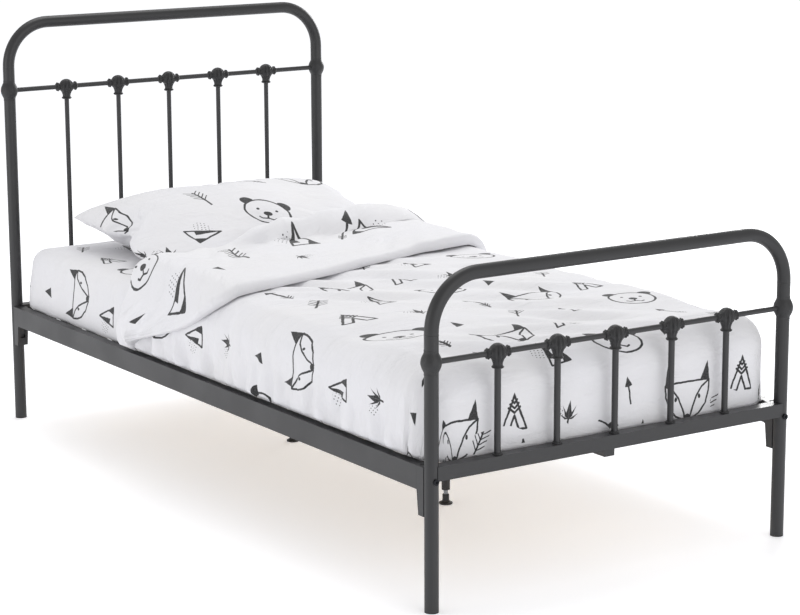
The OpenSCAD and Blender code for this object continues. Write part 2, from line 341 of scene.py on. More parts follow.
@dataclass(frozen=True)
class Finish:
    """A material made of nodes; each kind of finish adds its own nodes to the shader."""

    name: str

    def material(self) -> Material:
        """The finish as a material, built the first time it is asked for."""
        found = bpy.data.materials.get(self.name)
        if found:
            return found
        made = bpy.data.materials.new(self.name)
        made.use_nodes = True
        tree = made.node_tree
        shader = next(n for n in tree.nodes if n.type == "BSDF_PRINCIPLED")
        self.fill(tree, shader)
        return made

    def fill(self, tree: NodeTree, shader: Node) -> None:
        """Add the finish's nodes.

        Args:
            tree: The material's nodes.
            shader: Its principled shader.
        """
        raise NotImplementedError

    def dress(self, piece: Object) -> Object:
        """Give a piece this finish in every material slot."""
        if not piece.material_slots:
            piece.data.materials.append(self.material())
        for number in range(len(piece.material_slots)):
            piece.material_slots[number].material = self.material()
        return piece


@dataclass(frozen=True)
class Paint(Finish):
    """Anthracite paint on steel: powder baked on, or brushed on over a rough casting.

    Baked powder flows into a faint orange peel a millimetre or two across, with a satin gloss;
    over a casting the sand's grain shows through and the gloss is duller.
    """

    colour: str = "#131315"
    worn: str = "#2E2E30"
    roughness: Pair = (0.36, 0.5)
    peel: float = 0.0016
    depth: float = 0.00006

    def fill(self, tree: NodeTree, shader: Node) -> None:
        """Mottle the colour, rub the corners lighter and add the peel.

        Args:
            tree: The material's nodes.
            shader: Its principled shader.
        """
        place = put(tree, "TexCoord").outputs["Object"]
        mottle = put(tree, "TexNoise", {"Vector": place, "Scale": 9.0, "Detail": 5.0})
        tone = put(tree, "MapRange", {"Value": mottle.outputs["Fac"], "From Min": 0.35, "From Max": 0.7,
                   "To Min": 0.0, "To Max": 0.22})
        rub = put(tree, "MapRange", {"Value": put(tree, "NewGeometry").outputs["Pointiness"],
                  "From Min": 0.53, "From Max": 0.62, "To Min": 0.0, "To Max": 0.4})
        lift = put(tree, "Math", {0: tone, 1: rub}, operation="ADD", use_clamp=True)
        shade = put(tree, "Mix", {"Factor": lift, "A": linear(self.colour), "B": linear(self.worn)},
                    data_type="RGBA")
        gloss = put(tree, "MapRange", {"Value": mottle.outputs["Fac"], "From Min": 0.3, "From Max": 0.7,
                    "To Min": self.roughness[0], "To Max": self.roughness[1]})
        grain = put(tree, "TexNoise", {"Vector": place, "Scale": 1.0 / self.peel, "Detail": 2.0,
                    "Roughness": 0.4})
        swell = put(tree, "TexNoise", {"Vector": place, "Scale": 110.0, "Detail": 1.0})
        both = put(tree, "Math", {0: swell.outputs["Fac"], 1: 0.6, 2: grain.outputs["Fac"]},
                   operation="MULTIPLY_ADD")
        bump = put(tree, "Bump", {"Height": both, "Distance": self.depth, "Strength": 1.0})
        feed(tree, shader, {"Base Color": shade.outputs["Result"], "Roughness": gloss,
                            "Normal": bump, "Specular IOR Level": 0.56})


@dataclass(frozen=True)
class Metal(Finish):
    """Bare or plated steel: zinc dip, or black oxide on a bolt. It shows short turning marks."""

    colour: str = "#9A9CA0"
    dull: str = "#6E7075"
    roughness: float = 0.34
    marks: float = 0.0005

    def fill(self, tree: NodeTree, shader: Node) -> None:
        """Cloud the colour and draw turning marks round the part.

        Args:
            tree: The material's nodes.
            shader: Its principled shader.
        """
        place = put(tree, "TexCoord").outputs["Object"]
        cloud = put(tree, "TexNoise", {"Vector": place, "Scale": 140.0, "Detail": 4.0})
        shade = put(tree, "Mix", {"Factor": cloud.outputs["Fac"], "A": linear(self.colour),
                    "B": linear(self.dull)}, data_type="RGBA")
        turn = put(tree, "TexWave", {"Vector": place, "Scale": STRIPE / self.marks, "Distortion": 1.5},
                   bands_direction="Z")
        bump = put(tree, "Bump", {"Height": turn.outputs["Fac"], "Distance": 0.00004})
        rough = put(tree, "MapRange", {"Value": cloud.outputs["Fac"], "To Min": self.roughness - 0.08,
                    "To Max": self.roughness + 0.12})
        feed(tree, shader, {"Base Color": shade.outputs["Result"], "Roughness": rough,
                            "Normal": bump, "Metallic": 1.0})


@dataclass(frozen=True)
class Nylon(Finish):
    """Black nylon from a mould: a fine spark-eroded grain that scatters the light, grey where rubbed."""

    colour: str = "#1E1E20"
    rubbed: str = "#38383B"
    grain: float = 0.0007

    def fill(self, tree: NodeTree, shader: Node) -> None:
        """Grain the surface and let it fade where it is rubbed.

        Args:
            tree: The material's nodes.
            shader: Its principled shader.
        """
        place = put(tree, "TexCoord").outputs["Object"]
        fade = put(tree, "TexNoise", {"Vector": place, "Scale": 45.0, "Detail": 4.0})
        amount = put(tree, "MapRange", {"Value": fade.outputs["Fac"], "From Min": 0.45, "From Max": 0.8,
                     "To Max": 0.5})
        shade = put(tree, "Mix", {"Factor": amount, "A": linear(self.colour), "B": linear(self.rubbed)},
                    data_type="RGBA")
        pits = put(tree, "TexVoronoi", {"Vector": place, "Scale": 1.0 / self.grain})
        bump = put(tree, "Bump", {"Height": pits.outputs["Distance"], "Distance": 0.00008})
        rough = put(tree, "MapRange", {"Value": fade.outputs["Fac"], "To Min": 0.45, "To Max": 0.65})
        feed(tree, shader, {"Base Color": shade.outputs["Result"], "Roughness": rough,
                            "Normal": bump})


@dataclass(frozen=True)
class BirchPly(Finish):
    """Bent birch ply, peeled and sanded: pale flame figure along the slat, thin veneers at its edge."""

    pale: str = "#E3CDA6"
    dark: str = "#B98F5F"
    veneer: float = 0.0016

    def fill(self, tree: NodeTree, shader: Node) -> None:
        """Draw the figure along X and the veneers over the thickness.

        Args:
            tree: The material's nodes.
            shader: Its principled shader.
        """
        place = put(tree, "TexCoord").outputs["Object"]
        along = put(tree, "Mapping", {"Vector": place, "Scale": (0.06, 1.0, 1.0)})
        figure = put(tree, "TexNoise", {"Vector": along, "Scale": 70.0, "Detail": 6.0,
                     "Distortion": 1.2})
        pores = put(tree, "TexNoise", {"Vector": along, "Scale": 900.0})
        plies = put(tree, "TexWave", {"Vector": place, "Scale": STRIPE / self.veneer / 2,
                    "Distortion": 0.4}, bands_direction="Z")
        face = put(tree, "SeparateXYZ", {0: put(tree, "NewGeometry").outputs["Normal"]})
        flat = put(tree, "Math", {0: face.outputs["Z"]}, operation="ABSOLUTE")
        edge = put(tree, "Math", {0: 1.0, 1: flat}, operation="SUBTRACT")
        lines = put(tree, "Math", {0: edge, 1: plies.outputs["Fac"]}, operation="MULTIPLY")
        tone = put(tree, "MapRange", {"Value": figure.outputs["Fac"], "From Min": 0.3,
                   "From Max": 0.75})
        mixed = put(tree, "Math", {0: lines, 1: tone}, operation="MAXIMUM")
        shade = put(tree, "Mix", {"Factor": mixed, "A": linear(self.pale), "B": linear(self.dark)},
                    data_type="RGBA")
        bump = put(tree, "Bump", {"Height": pores.outputs["Fac"], "Distance": 0.0001})
        feed(tree, shader, {"Base Color": shade.outputs["Result"], "Normal": bump,
                            "Roughness": 0.55})


@dataclass(frozen=True)
class Ticking(Finish):
    """Mattress ticking: off-white knitted cover quilted in a diamond, with soft dimples at the lines."""

    colour: str = "#EDEBE4"
    shadow: str = "#C9C6BC"
    diamond: float = 0.07

    def fill(self, tree: NodeTree, shader: Node) -> None:
        """Quilt the cover and knit its surface.

        Args:
            tree: The material's nodes.
            shader: Its principled shader.
        """
        place = put(tree, "TexCoord").outputs["Object"]
        lines = []
        for angle in (math.pi / 4, -math.pi / 4):
            turn = put(tree, "Mapping", {"Vector": place, "Rotation": (0, 0, angle)})
            wave = put(tree, "TexWave", {"Vector": turn, "Scale": STRIPE / self.diamond,
                       "Distortion": 0.3}, wave_profile="SIN")
            lines.append(wave.outputs["Fac"])
        puff = put(tree, "Math", {0: lines[0], 1: lines[1]}, operation="MINIMUM")
        knit = put(tree, "TexVoronoi", {"Vector": place, "Scale": 700.0})
        height = put(tree, "Math", {0: knit.outputs["Distance"], 1: 0.05, 2: puff},
                     operation="MULTIPLY_ADD")
        bump = put(tree, "Bump", {"Height": height, "Distance": 0.004})
        shade = put(tree, "Mix", {"Factor": puff, "A": linear(self.shadow), "B": linear(self.colour)},
                    data_type="RGBA")
        feed(tree, shader, {"Base Color": shade.outputs["Result"], "Normal": bump,
                            "Roughness": 0.9})


class Motif(enum.Enum):
    """The woodland drawings of the print."""

    FOX = "fox"
    BEAR = "bear"
    PEAKS = "peaks"
    TIPI = "tipi"
    SPRIG = "sprig"
    ARROW = "arrow"
    LEAF = "leaf"
    WEDGE = "wedge"


@dataclass(frozen=True)
class Stamp:
    """Where a motif is printed in the repeat: its centre in metres, its turn and its size."""

    motif: Motif
    x: float
    y: float
    turn: float = 0.0
    size: float = 1.0


@dataclass(frozen=True)
class Pen:
    """Draws one motif round its own centre, in millimetres, as the distance to the nearest ink."""

    tree: NodeTree
    at: Source
    half: float = 2.2

    def near(self, *gaps: Source) -> Source:
        """The least of several distances."""
        least = gaps[0]
        for gap in gaps[1:]:
            least = put(self.tree, "Math", {0: least, 1: gap}, operation="MINIMUM")
        return least

    def within(self, *gaps: Source) -> Source:
        """The greatest of several distances, which is the overlap of their shapes."""
        most = gaps[0]
        for gap in gaps[1:]:
            most = put(self.tree, "Math", {0: most, 1: gap}, operation="MAXIMUM")
        return most

    def mirrored(self) -> "Pen":
        """A pen whose left side copies its right side."""
        parts = put(self.tree, "SeparateXYZ", {0: self.at})
        right = put(self.tree, "Math", {0: parts.outputs["X"]}, operation="ABSOLUTE")
        both = put(self.tree, "CombineXYZ", {0: right, 1: parts.outputs["Y"]})
        return Pen(self.tree, both, self.half)

    def line(self, *corners: Pair) -> Source:
        """A pen line through some corners.

        For each stretch, the distance is from the point to its own foot on the stretch, where the
        foot is held between the two ends; half the line's width is taken off.

        Args:
            *corners: The corners, in millimetres.

        Returns:
            The distance to the line's edge.
        """
        gaps = []
        for start, end in zip(corners, corners[1:]):
            way = np.subtract(end, start).astype(float)
            unit = way / way.dot(way)
            rel = put(self.tree, "VectorMath", {0: self.at, 1: (*start, 0.0)}, operation="SUBTRACT")
            along = put(self.tree, "VectorMath", {0: rel, 1: (*unit, 0.0)}, operation="DOT_PRODUCT")
            held = put(self.tree, "Math", {0: along.outputs["Value"], 1: 0.0}, operation="ADD",
                       use_clamp=True)
            foot = put(self.tree, "VectorMath", {0: (*way, 0.0), "Scale": held}, operation="SCALE")
            gap = put(self.tree, "VectorMath", {0: rel, 1: foot}, operation="DISTANCE")
            gaps.append(gap.outputs["Value"])
        return put(self.tree, "Math", {0: self.near(*gaps), 1: self.half}, operation="SUBTRACT")

    def solid(self, *corners: Pair) -> Source:
        """A filled shape with straight sides: the greatest distance outside any of its sides.

        Args:
            *corners: Its corners in millimetres, against the clock.

        Returns:
            The distance to the shape.
        """
        gaps = []
        for start, end in zip(corners, corners[1:] + corners[:1]):
            side = np.subtract(end, start).astype(float)
            out = np.array((side[1], -side[0])) / math.hypot(*side)
            reach = put(self.tree, "VectorMath", {0: self.at, 1: (*out, 0.0)}, operation="DOT_PRODUCT")
            gaps.append(put(self.tree, "Math", {0: reach.outputs["Value"],
                        1: float(out.dot(start))}, operation="SUBTRACT"))
        return self.within(*gaps)

    def oval(self, centre: Pair, radii: Pair, ring: bool = False) -> Source:
        """A filled oval or its outline: the length of the point over the radii, less one.

        Args:
            centre: Its middle, in millimetres.
            radii: Its half width and half height.
            ring: Whether only the outline is drawn.

        Returns:
            The distance to the ink.
        """
        inverse = (1.0 / radii[0], 1.0 / radii[1], 1.0)
        rel = put(self.tree, "VectorMath", {0: self.at, 1: (*centre, 0.0)}, operation="SUBTRACT")
        scaled = put(self.tree, "VectorMath", {0: rel, 1: inverse}, operation="MULTIPLY")
        reach = put(self.tree, "VectorMath", {0: scaled}, operation="LENGTH")
        size = min(radii)
        gap = put(self.tree, "Math", {0: reach.outputs["Value"], 1: size, 2: -size},
                  operation="MULTIPLY_ADD")
        if not ring:
            return gap
        edge = put(self.tree, "Math", {0: gap}, operation="ABSOLUTE")
        return put(self.tree, "Math", {0: edge, 1: self.half}, operation="SUBTRACT")

    def barbs(self, low: float, high: float, reach: float, pitch: float) -> Source:
        """Slanted strokes on both sides of a stem: the height less the distance from the stem, folded.

        Args:
            low: Height of the lowest stroke.
            high: Height of the highest one.
            reach: How far the strokes stand out.
            pitch: Distance between strokes.

        Returns:
            The distance to the ink.
        """
        parts = put(self.tree, "SeparateXYZ", {0: self.at})
        slant = put(self.tree, "Math", {0: parts.outputs["Y"], 1: parts.outputs["X"]},
                    operation="SUBTRACT")
        fold = put(self.tree, "Math", {0: slant, 1: pitch / 2}, operation="PINGPONG")
        thin = put(self.tree, "Math", {0: fold, 1: 1.7}, operation="SUBTRACT")
        wide = put(self.tree, "Math", {0: parts.outputs["X"], 1: reach}, operation="SUBTRACT")
        mid = put(self.tree, "Math", {0: slant, 1: (low + high) / 2}, operation="SUBTRACT")
        span = put(self.tree, "Math", {0: mid}, operation="ABSOLUTE")
        ends = put(self.tree, "Math", {0: span, 1: (high - low) / 2}, operation="SUBTRACT")
        return self.within(thin, wide, ends)

    def dots(self, centre: Pair, spread: float, pitch: float) -> Source:
        """A round patch of small dots: the point folded into one cell, cut off outside the patch.

        Args:
            centre: The patch's middle.
            spread: Its radius.
            pitch: Distance between dots.

        Returns:
            The distance to the ink.
        """
        leant = put(self.tree, "Mapping", {"Vector": self.at, "Rotation": (0.0, 0.0, 0.5)})
        cell = put(self.tree, "VectorMath", {0: leant, 1: (pitch, pitch, 1.0)}, operation="MODULO")
        folded = put(self.tree, "VectorMath", {0: cell}, operation="ABSOLUTE")
        gap = put(self.tree, "VectorMath", {0: folded, 1: (pitch / 2, pitch / 2, 0.0)},
                  operation="DISTANCE")
        dot = put(self.tree, "Math", {0: gap.outputs["Value"], 1: 1.15}, operation="SUBTRACT")
        return self.within(dot, self.oval(centre, (spread, spread)))

    def draw(self, motif: Motif) -> Source:
        """Draw one of the motifs; each is up to about 120 mm tall.

        Args:
            motif: Which one.

        Returns:
            The distance to its ink.
        """
        pair = self.mirrored()
        if motif is Motif.FOX:
            return self.near(
                pair.line((0, 23), (60, 21)),
                pair.line((62, 20), (60, -5), (51, -31), (32, -52), (6, -63)),
                pair.line((62, 20), (40, 7), (25, -13), (14, -36), (8, -54)),
                pair.solid((36, 22), (63, 19), (57, 63)),
                pair.oval((0, -57), (8.5, 8)),
                pair.oval((33, -14), (3.4, 5.2)))
        if motif is Motif.BEAR:
            ear = pair.oval((45, 36), (17, 15))
            outside = put(self.tree, "Math", {0: self.oval((0, 0), (58, 46)), 1: -1.0},
                          operation="MULTIPLY")
            return self.near(
                pair.within(ear, outside), self.oval((0, 0), (58, 46), ring=True),
                pair.oval((24, 8), (3.8, 3.8)), self.oval((0, -6), (11, 8)),
                pair.line((0, -12), (0, -24), (15, -28), (22, -23)))
        if motif is Motif.PEAKS:
            return self.near(
                pair.line((0, 40), (24, -34), (0, -34)),
                self.solid((-18, -14), (-4, -20), (0, 38)),
                self.solid((6, -34), (25, -34), (15, -8)),
                self.dots((-22, 10), 20, 7.5))
        if motif is Motif.TIPI:
            return self.near(
                pair.line((-9, 52), (28, -36), (11, -36), (0, -8)),
                pair.line((0, 16), (6, 22)), pair.line((0, 6), (10, 15)),
                pair.line((0, -3), (13, 8)))
        if motif is Motif.SPRIG:
            return self.near(pair.line((0, -34), (0, 32)), pair.barbs(-16, 26, 17, 12))
        if motif is Motif.ARROW:
            return self.near(pair.line((0, -42), (0, 40)), pair.barbs(-40, -20, 9, 8),
                             pair.solid((0, 28), (10, 30), (0, 52)))
        if motif is Motif.LEAF:
            burst = [pair.solid((0, -15), (9, -7), (0, 27)), pair.solid((0, -9), (8, -7), (17, 15)),
                     pair.solid((0, -14), (9, -14), (22, -2)), pair.line((0, -14), (0, -24))]
            return self.near(*burst, self.dots((-25, 2), 13, 7.0))
        return self.solid((-14, -16), (13, -12), (5, 22))


# The cover's repeat is a half drop: cells 310 x 630 mm, each column shifted by half a cell.
CELL = (0.310, 0.630)
STAMPS = (
    Stamp(Motif.FOX, -0.080, -0.235), Stamp(Motif.WEDGE, -0.100, -0.075, 0.2),
    Stamp(Motif.LEAF, -0.095, 0.080, -0.1), Stamp(Motif.PEAKS, -0.105, 0.225, 0.1),
    Stamp(Motif.TIPI, 0.074, -0.212, 0.0, 1.1), Stamp(Motif.SPRIG, 0.086, -0.045, -0.5),
    Stamp(Motif.ARROW, 0.072, 0.085, 0.15), Stamp(Motif.BEAR, 0.078, 0.235, -0.3, 0.95),
)


@dataclass(frozen=True)
class PrintedPercale(Finish):
    """White cotton percale, plain woven and screen printed in charcoal.

    Percale is matt with a faint bloom at grazing angles. Its threads, a quarter of a millimetre
    apart, are drawn at 0.9 mm so that they show. The ink lies in the threads, so its edges waver.
    """

    white: str = "#DADADF"
    warm: str = "#DAD9DA"
    ink: str = "#0F0F12"
    thread: float = 0.0009
    crease: float = 0.0015
    cell: Pair = CELL
    stamps: tuple[Stamp, ...] = STAMPS

    def distances(self, tree: NodeTree) -> Source:
        """Distance to the nearest ink, in millimetres, over the whole repeat.

        Args:
            tree: The material's nodes.

        Returns:
            The distance.
        """
        wide, tall = self.cell
        flat = put(tree, "UVMap", uv_map=PRINT_MAP)
        shake = put(tree, "TexNoise", {"Vector": flat, "Scale": 60.0, "Detail": 3.0})
        sway = put(tree, "VectorMath", {0: shake.outputs["Color"], 1: (0.5, 0.5, 0.5)},
                   operation="SUBTRACT")
        moved = put(tree, "VectorMath", {0: sway, 1: (0.004, 0.004, 0.0), 2: flat},
                    operation="MULTIPLY_ADD")
        parts = put(tree, "SeparateXYZ", {0: moved})
        over = put(tree, "Math", {0: parts.outputs["X"], 1: 1.0 / wide, 2: 0.5},
                   operation="MULTIPLY_ADD")
        column = put(tree, "Math", {0: over}, operation="FLOOR")
        x = put(tree, "Math", {0: column, 1: -wide, 2: parts.outputs["X"]}, operation="MULTIPLY_ADD")
        dropped = put(tree, "Math", {0: column, 1: tall / 2, 2: parts.outputs["Y"]},
                      operation="MULTIPLY_ADD")
        y = put(tree, "Math", {0: dropped, 1: tall / 2, 2: -tall / 2}, operation="WRAP")
        cell = put(tree, "CombineXYZ", {0: x, 1: y})
        gaps = []
        for stamp in self.stamps:
            scale = 0.001 * stamp.size
            local = put(tree, "Mapping", {"Vector": cell, "Location": (stamp.x, stamp.y, 0.0),
                        "Rotation": (0.0, 0.0, stamp.turn), "Scale": (scale, scale, scale)},
                        vector_type="TEXTURE")
            gaps.append(Pen(tree, local).draw(stamp.motif))
        return Pen(tree, cell).near(*gaps)

    def fill(self, tree: NodeTree, shader: Node) -> None:
        """Print the cloth, weave it and crumple it a little.

        Args:
            tree: The material's nodes.
            shader: Its principled shader.
        """
        flat = put(tree, "UVMap", uv_map=PRINT_MAP)
        cover = put(tree, "MapRange", {"Value": self.distances(tree), "From Min": -0.25,
                    "From Max": 0.45, "To Min": 1.0, "To Max": 0.0})
        patchy = put(tree, "TexNoise", {"Vector": flat, "Scale": 300.0, "Detail": 3.0})
        fade = put(tree, "MapRange", {"Value": patchy.outputs["Fac"], "From Min": 0.3, "From Max": 0.7,
                   "To Min": 0.93, "To Max": 1.0})
        inked = put(tree, "Math", {0: cover, 1: fade}, operation="MULTIPLY")
        tint = put(tree, "TexNoise", {"Vector": flat, "Scale": 5.0, "Detail": 2.0})
        cloth = put(tree, "Mix", {"Factor": tint.outputs["Fac"], "A": linear(self.white),
                    "B": linear(self.warm)}, data_type="RGBA")
        shade = put(tree, "Mix", {"Factor": inked, "A": cloth.outputs["Result"], "B": linear(self.ink)},
                    data_type="RGBA")
        warp, weft = (put(tree, "TexWave", {"Vector": flat, "Scale": STRIPE / self.thread,
                      "Distortion": 0.6, "Detail": 1.0}, bands_direction=way).outputs["Fac"]
                      for way in "XY")
        weave = put(tree, "Math", {0: warp, 1: weft}, operation="MULTIPLY")
        fine = put(tree, "Bump", {"Height": weave, "Distance": 0.00012})
        long_way = put(tree, "Mapping", {"Vector": flat, "Rotation": (0, 0, 0.5),
                       "Scale": (9.0, 26.0, 1.0)})
        ripple = put(tree, "TexNoise", {"Vector": long_way, "Scale": 1.0, "Detail": 5.0,
                     "Roughness": 0.55, "Distortion": 0.8})
        bump = put(tree, "Bump", {"Height": ripple.outputs["Fac"], "Distance": self.crease * 4,
                   "Normal": fine})
        feed(tree, shader, {"Base Color": shade.outputs["Result"], "Normal": bump,
                            "Roughness": 0.88, "Sheen Weight": 0.12, "Sheen Roughness": 0.5})


@dataclass(frozen=True)
class StudioPaper(Finish):
    """Pale seamless paper lit from below as well: matt, with a breath of cloudiness."""

    colour: str = "#FBFCFF"
    cloud: str = "#F8F8FA"
    glow: float = 0.27

    def fill(self, tree: NodeTree, shader: Node) -> None:
        """Cloud the paper very faintly.

        Args:
            tree: The material's nodes.
            shader: Its principled shader.
        """
        place = put(tree, "TexCoord").outputs["Object"]
        cloud = put(tree, "TexNoise", {"Vector": place, "Scale": 0.8})
        shade = put(tree, "Mix", {"Factor": cloud.outputs["Fac"], "A": linear(self.colour),
                    "B": linear(self.cloud)}, data_type="RGBA")
        feed(tree, shader, {"Base Color": shade.outputs["Result"], "Roughness": 0.95,
                            "Specular IOR Level": 0.1, "Emission Color": linear(self.colour),
                            "Emission Strength": self.glow})


FRAME_PAINT = Paint("anthracite_powder_coat")
CAST_PAINT = Paint("anthracite_paint_on_casting", roughness=(0.42, 0.6), peel=0.0032, depth=0.0005)
BOLT_STEEL = Metal("black_oxide_steel", colour="#35363A", dull="#1D1E20", roughness=0.4)
ZINC = Metal("zinc_plated_steel")
NYLON = Nylon("moulded_black_nylon")
PLY = BirchPly("birch_plywood")
TICKING = Ticking("quilted_ticking")
PERCALE = PrintedPercale("printed_cotton_percale")
CASE_PERCALE = PrintedPercale("printed_percale_pillowcase", cell=(0.90, 0.62), stamps=(
    Stamp(Motif.BEAR, 0.150, -0.130, -0.32), Stamp(Motif.SPRIG, 0.022, -0.040, 0.15, 1.1),
    Stamp(Motif.PEAKS, -0.050, -0.175, -1.5), Stamp(Motif.FOX, -0.222, 0.035, 0.05, 1.1),
    Stamp(Motif.LEAF, -0.228, -0.185, 0.3), Stamp(Motif.LEAF, -0.165, -0.215, -0.4),
    Stamp(Motif.TIPI, -0.250, -0.130, -0.6, 0.9), Stamp(Motif.WEDGE, -0.300, -0.120, 0.5),
    Stamp(Motif.ARROW, 0.210, 0.060, 0.9), Stamp(Motif.FOX, 0.370, 0.100, -0.3),
    Stamp(Motif.LEAF, 0.140, -0.290, 0.4), Stamp(Motif.WEDGE, 0.330, -0.110, 2.0)))
REVERSE_PERCALE = PrintedPercale("printed_percale_reverse", cell=(1.30, 0.63), stamps=(
    Stamp(Motif.SPRIG, 0.264, 0.112, 3.0, 1.8), Stamp(Motif.PEAKS, 0.032, 0.104, 2.9, 1.7),
    Stamp(Motif.PEAKS, 0.515, 0.139, 1.8, 1.3), Stamp(Motif.ARROW, -0.110, 0.130, 2.4, 1.5),
    Stamp(Motif.PEAKS, -0.190, 0.170, 0.8, 1.5), Stamp(Motif.BEAR, 0.492, -0.060, 2.2),
    Stamp(Motif.WEDGE, 0.400, 0.220, 0.4), Stamp(Motif.LEAF, 0.140, 0.260, 0.2),
    Stamp(Motif.FOX, -0.420, 0.120, 2.8), Stamp(Motif.TIPI, -0.300, -0.100, 0.3),
    Stamp(Motif.WEDGE, 0.600, 0.020, 1.4), Stamp(Motif.ARROW, 0.250, -0.120, 1.2)))
SLOT_FINISHES = {
    "frame_paint": FRAME_PAINT, "casting_paint": CAST_PAINT, "bolt_steel": BOLT_STEEL,
    "zinc_steel": ZINC, "black_plastic": NYLON, "birch_ply": PLY,
}


# --------------------------------------------------------------------- studio

@dataclass(frozen=True)
class Studio:
    """Pale floor, soft lights and the camera."""

    place: tuple[float, float, float] = (-3.2066, -4.9611, 1.6548)
    yaw: float = -0.5883
    pitch: float = 0.2076
    roll: float = -0.0037
    lens: float = 111.85
    floor: float = 60.0
    room: float = 0.80
    lights: tuple = (("overhead_box", (0.6, 1.6, 4.4), 2.6, 60.0),
                     ("window_box", (4.2, 2.6, 1.9), 1.3, 72.0),
                     ("front_box", (0.6, -6.0, 2.2), 5.0, 78.0),
                     ("left_box", (-4.6, 0.6, 1.2), 2.6, 34.0))

    def camera(self) -> None:
        """Stand the camera at the foot end's left and aim it over the bed.

        Its axes come from the yaw about Z, the pitch down and the roll about the view, in turn.
        """
        data = bpy.data.cameras.new("Camera")
        data.lens, data.sensor_width = self.lens, 36.0
        data.clip_end = 200.0
        data.dof.use_dof = False
        cos, sin = math.cos, math.sin
        back = np.array((sin(self.yaw) * cos(self.pitch), -cos(self.yaw) * cos(self.pitch),
                         sin(self.pitch)))
        right = np.array((cos(self.yaw), sin(self.yaw), 0.0))
        up = np.cross(back, right)
        across = cos(self.roll) * right + sin(self.roll) * up
        upright = -sin(self.roll) * right + cos(self.roll) * up
        turn = np.eye(4)
        turn[:3, 0], turn[:3, 1], turn[:3, 2], turn[:3, 3] = across, upright, back, self.place
        camera = bpy.data.objects.new("Camera", data)
        camera.matrix_world = Matrix(turn.tolist())
        bpy.context.scene.collection.objects.link(camera)
        bpy.context.scene.camera = camera

    def light(self, name: str, at: tuple[float, float, float], size: float, power: float) -> None:
        """Hang a square soft box that looks at the bed's middle.

        Args:
            name: The light's name.
            at: Its place.
            size: Its side.
            power: Its power, in watts.
        """
        data = bpy.data.lights.new(name, "AREA")
        data.shape, data.size, data.energy = "SQUARE", size, power
        box = bpy.data.objects.new(name, data)
        box.matrix_world = (Matrix.Translation(at) @ (Vector((0, 0, 0.4)) - Vector(at))
                            .to_track_quat("-Z", "Y").to_matrix().to_4x4())
        bpy.context.scene.collection.objects.link(box)

    def build(self) -> None:
        """Lay the floor, hang the lights, light the room and stand the camera."""
        half = self.floor / 2
        corners = np.array([(-half, -half, 0), (half, -half, 0), (half, half, 0), (-half, half, 0)])
        floor = make_piece("studio_floor", corners, np.array([[0, 1, 2, 3]]), smooth_faces=False)
        StudioPaper("seamless_paper").dress(floor)
        for row in self.lights:
            self.light(*row)
        world = bpy.data.worlds.new("studio_room")
        world.use_nodes = True
        back = next(n for n in world.node_tree.nodes if n.type == "BACKGROUND")
        back.inputs["Color"].default_value = linear("#FFFFFF")
        back.inputs["Strength"].default_value = self.room
        bpy.context.scene.world = world
        bpy.context.scene.view_settings.view_transform = "Standard"
        self.camera()


# ----------------------------------------------------------------- steel frame

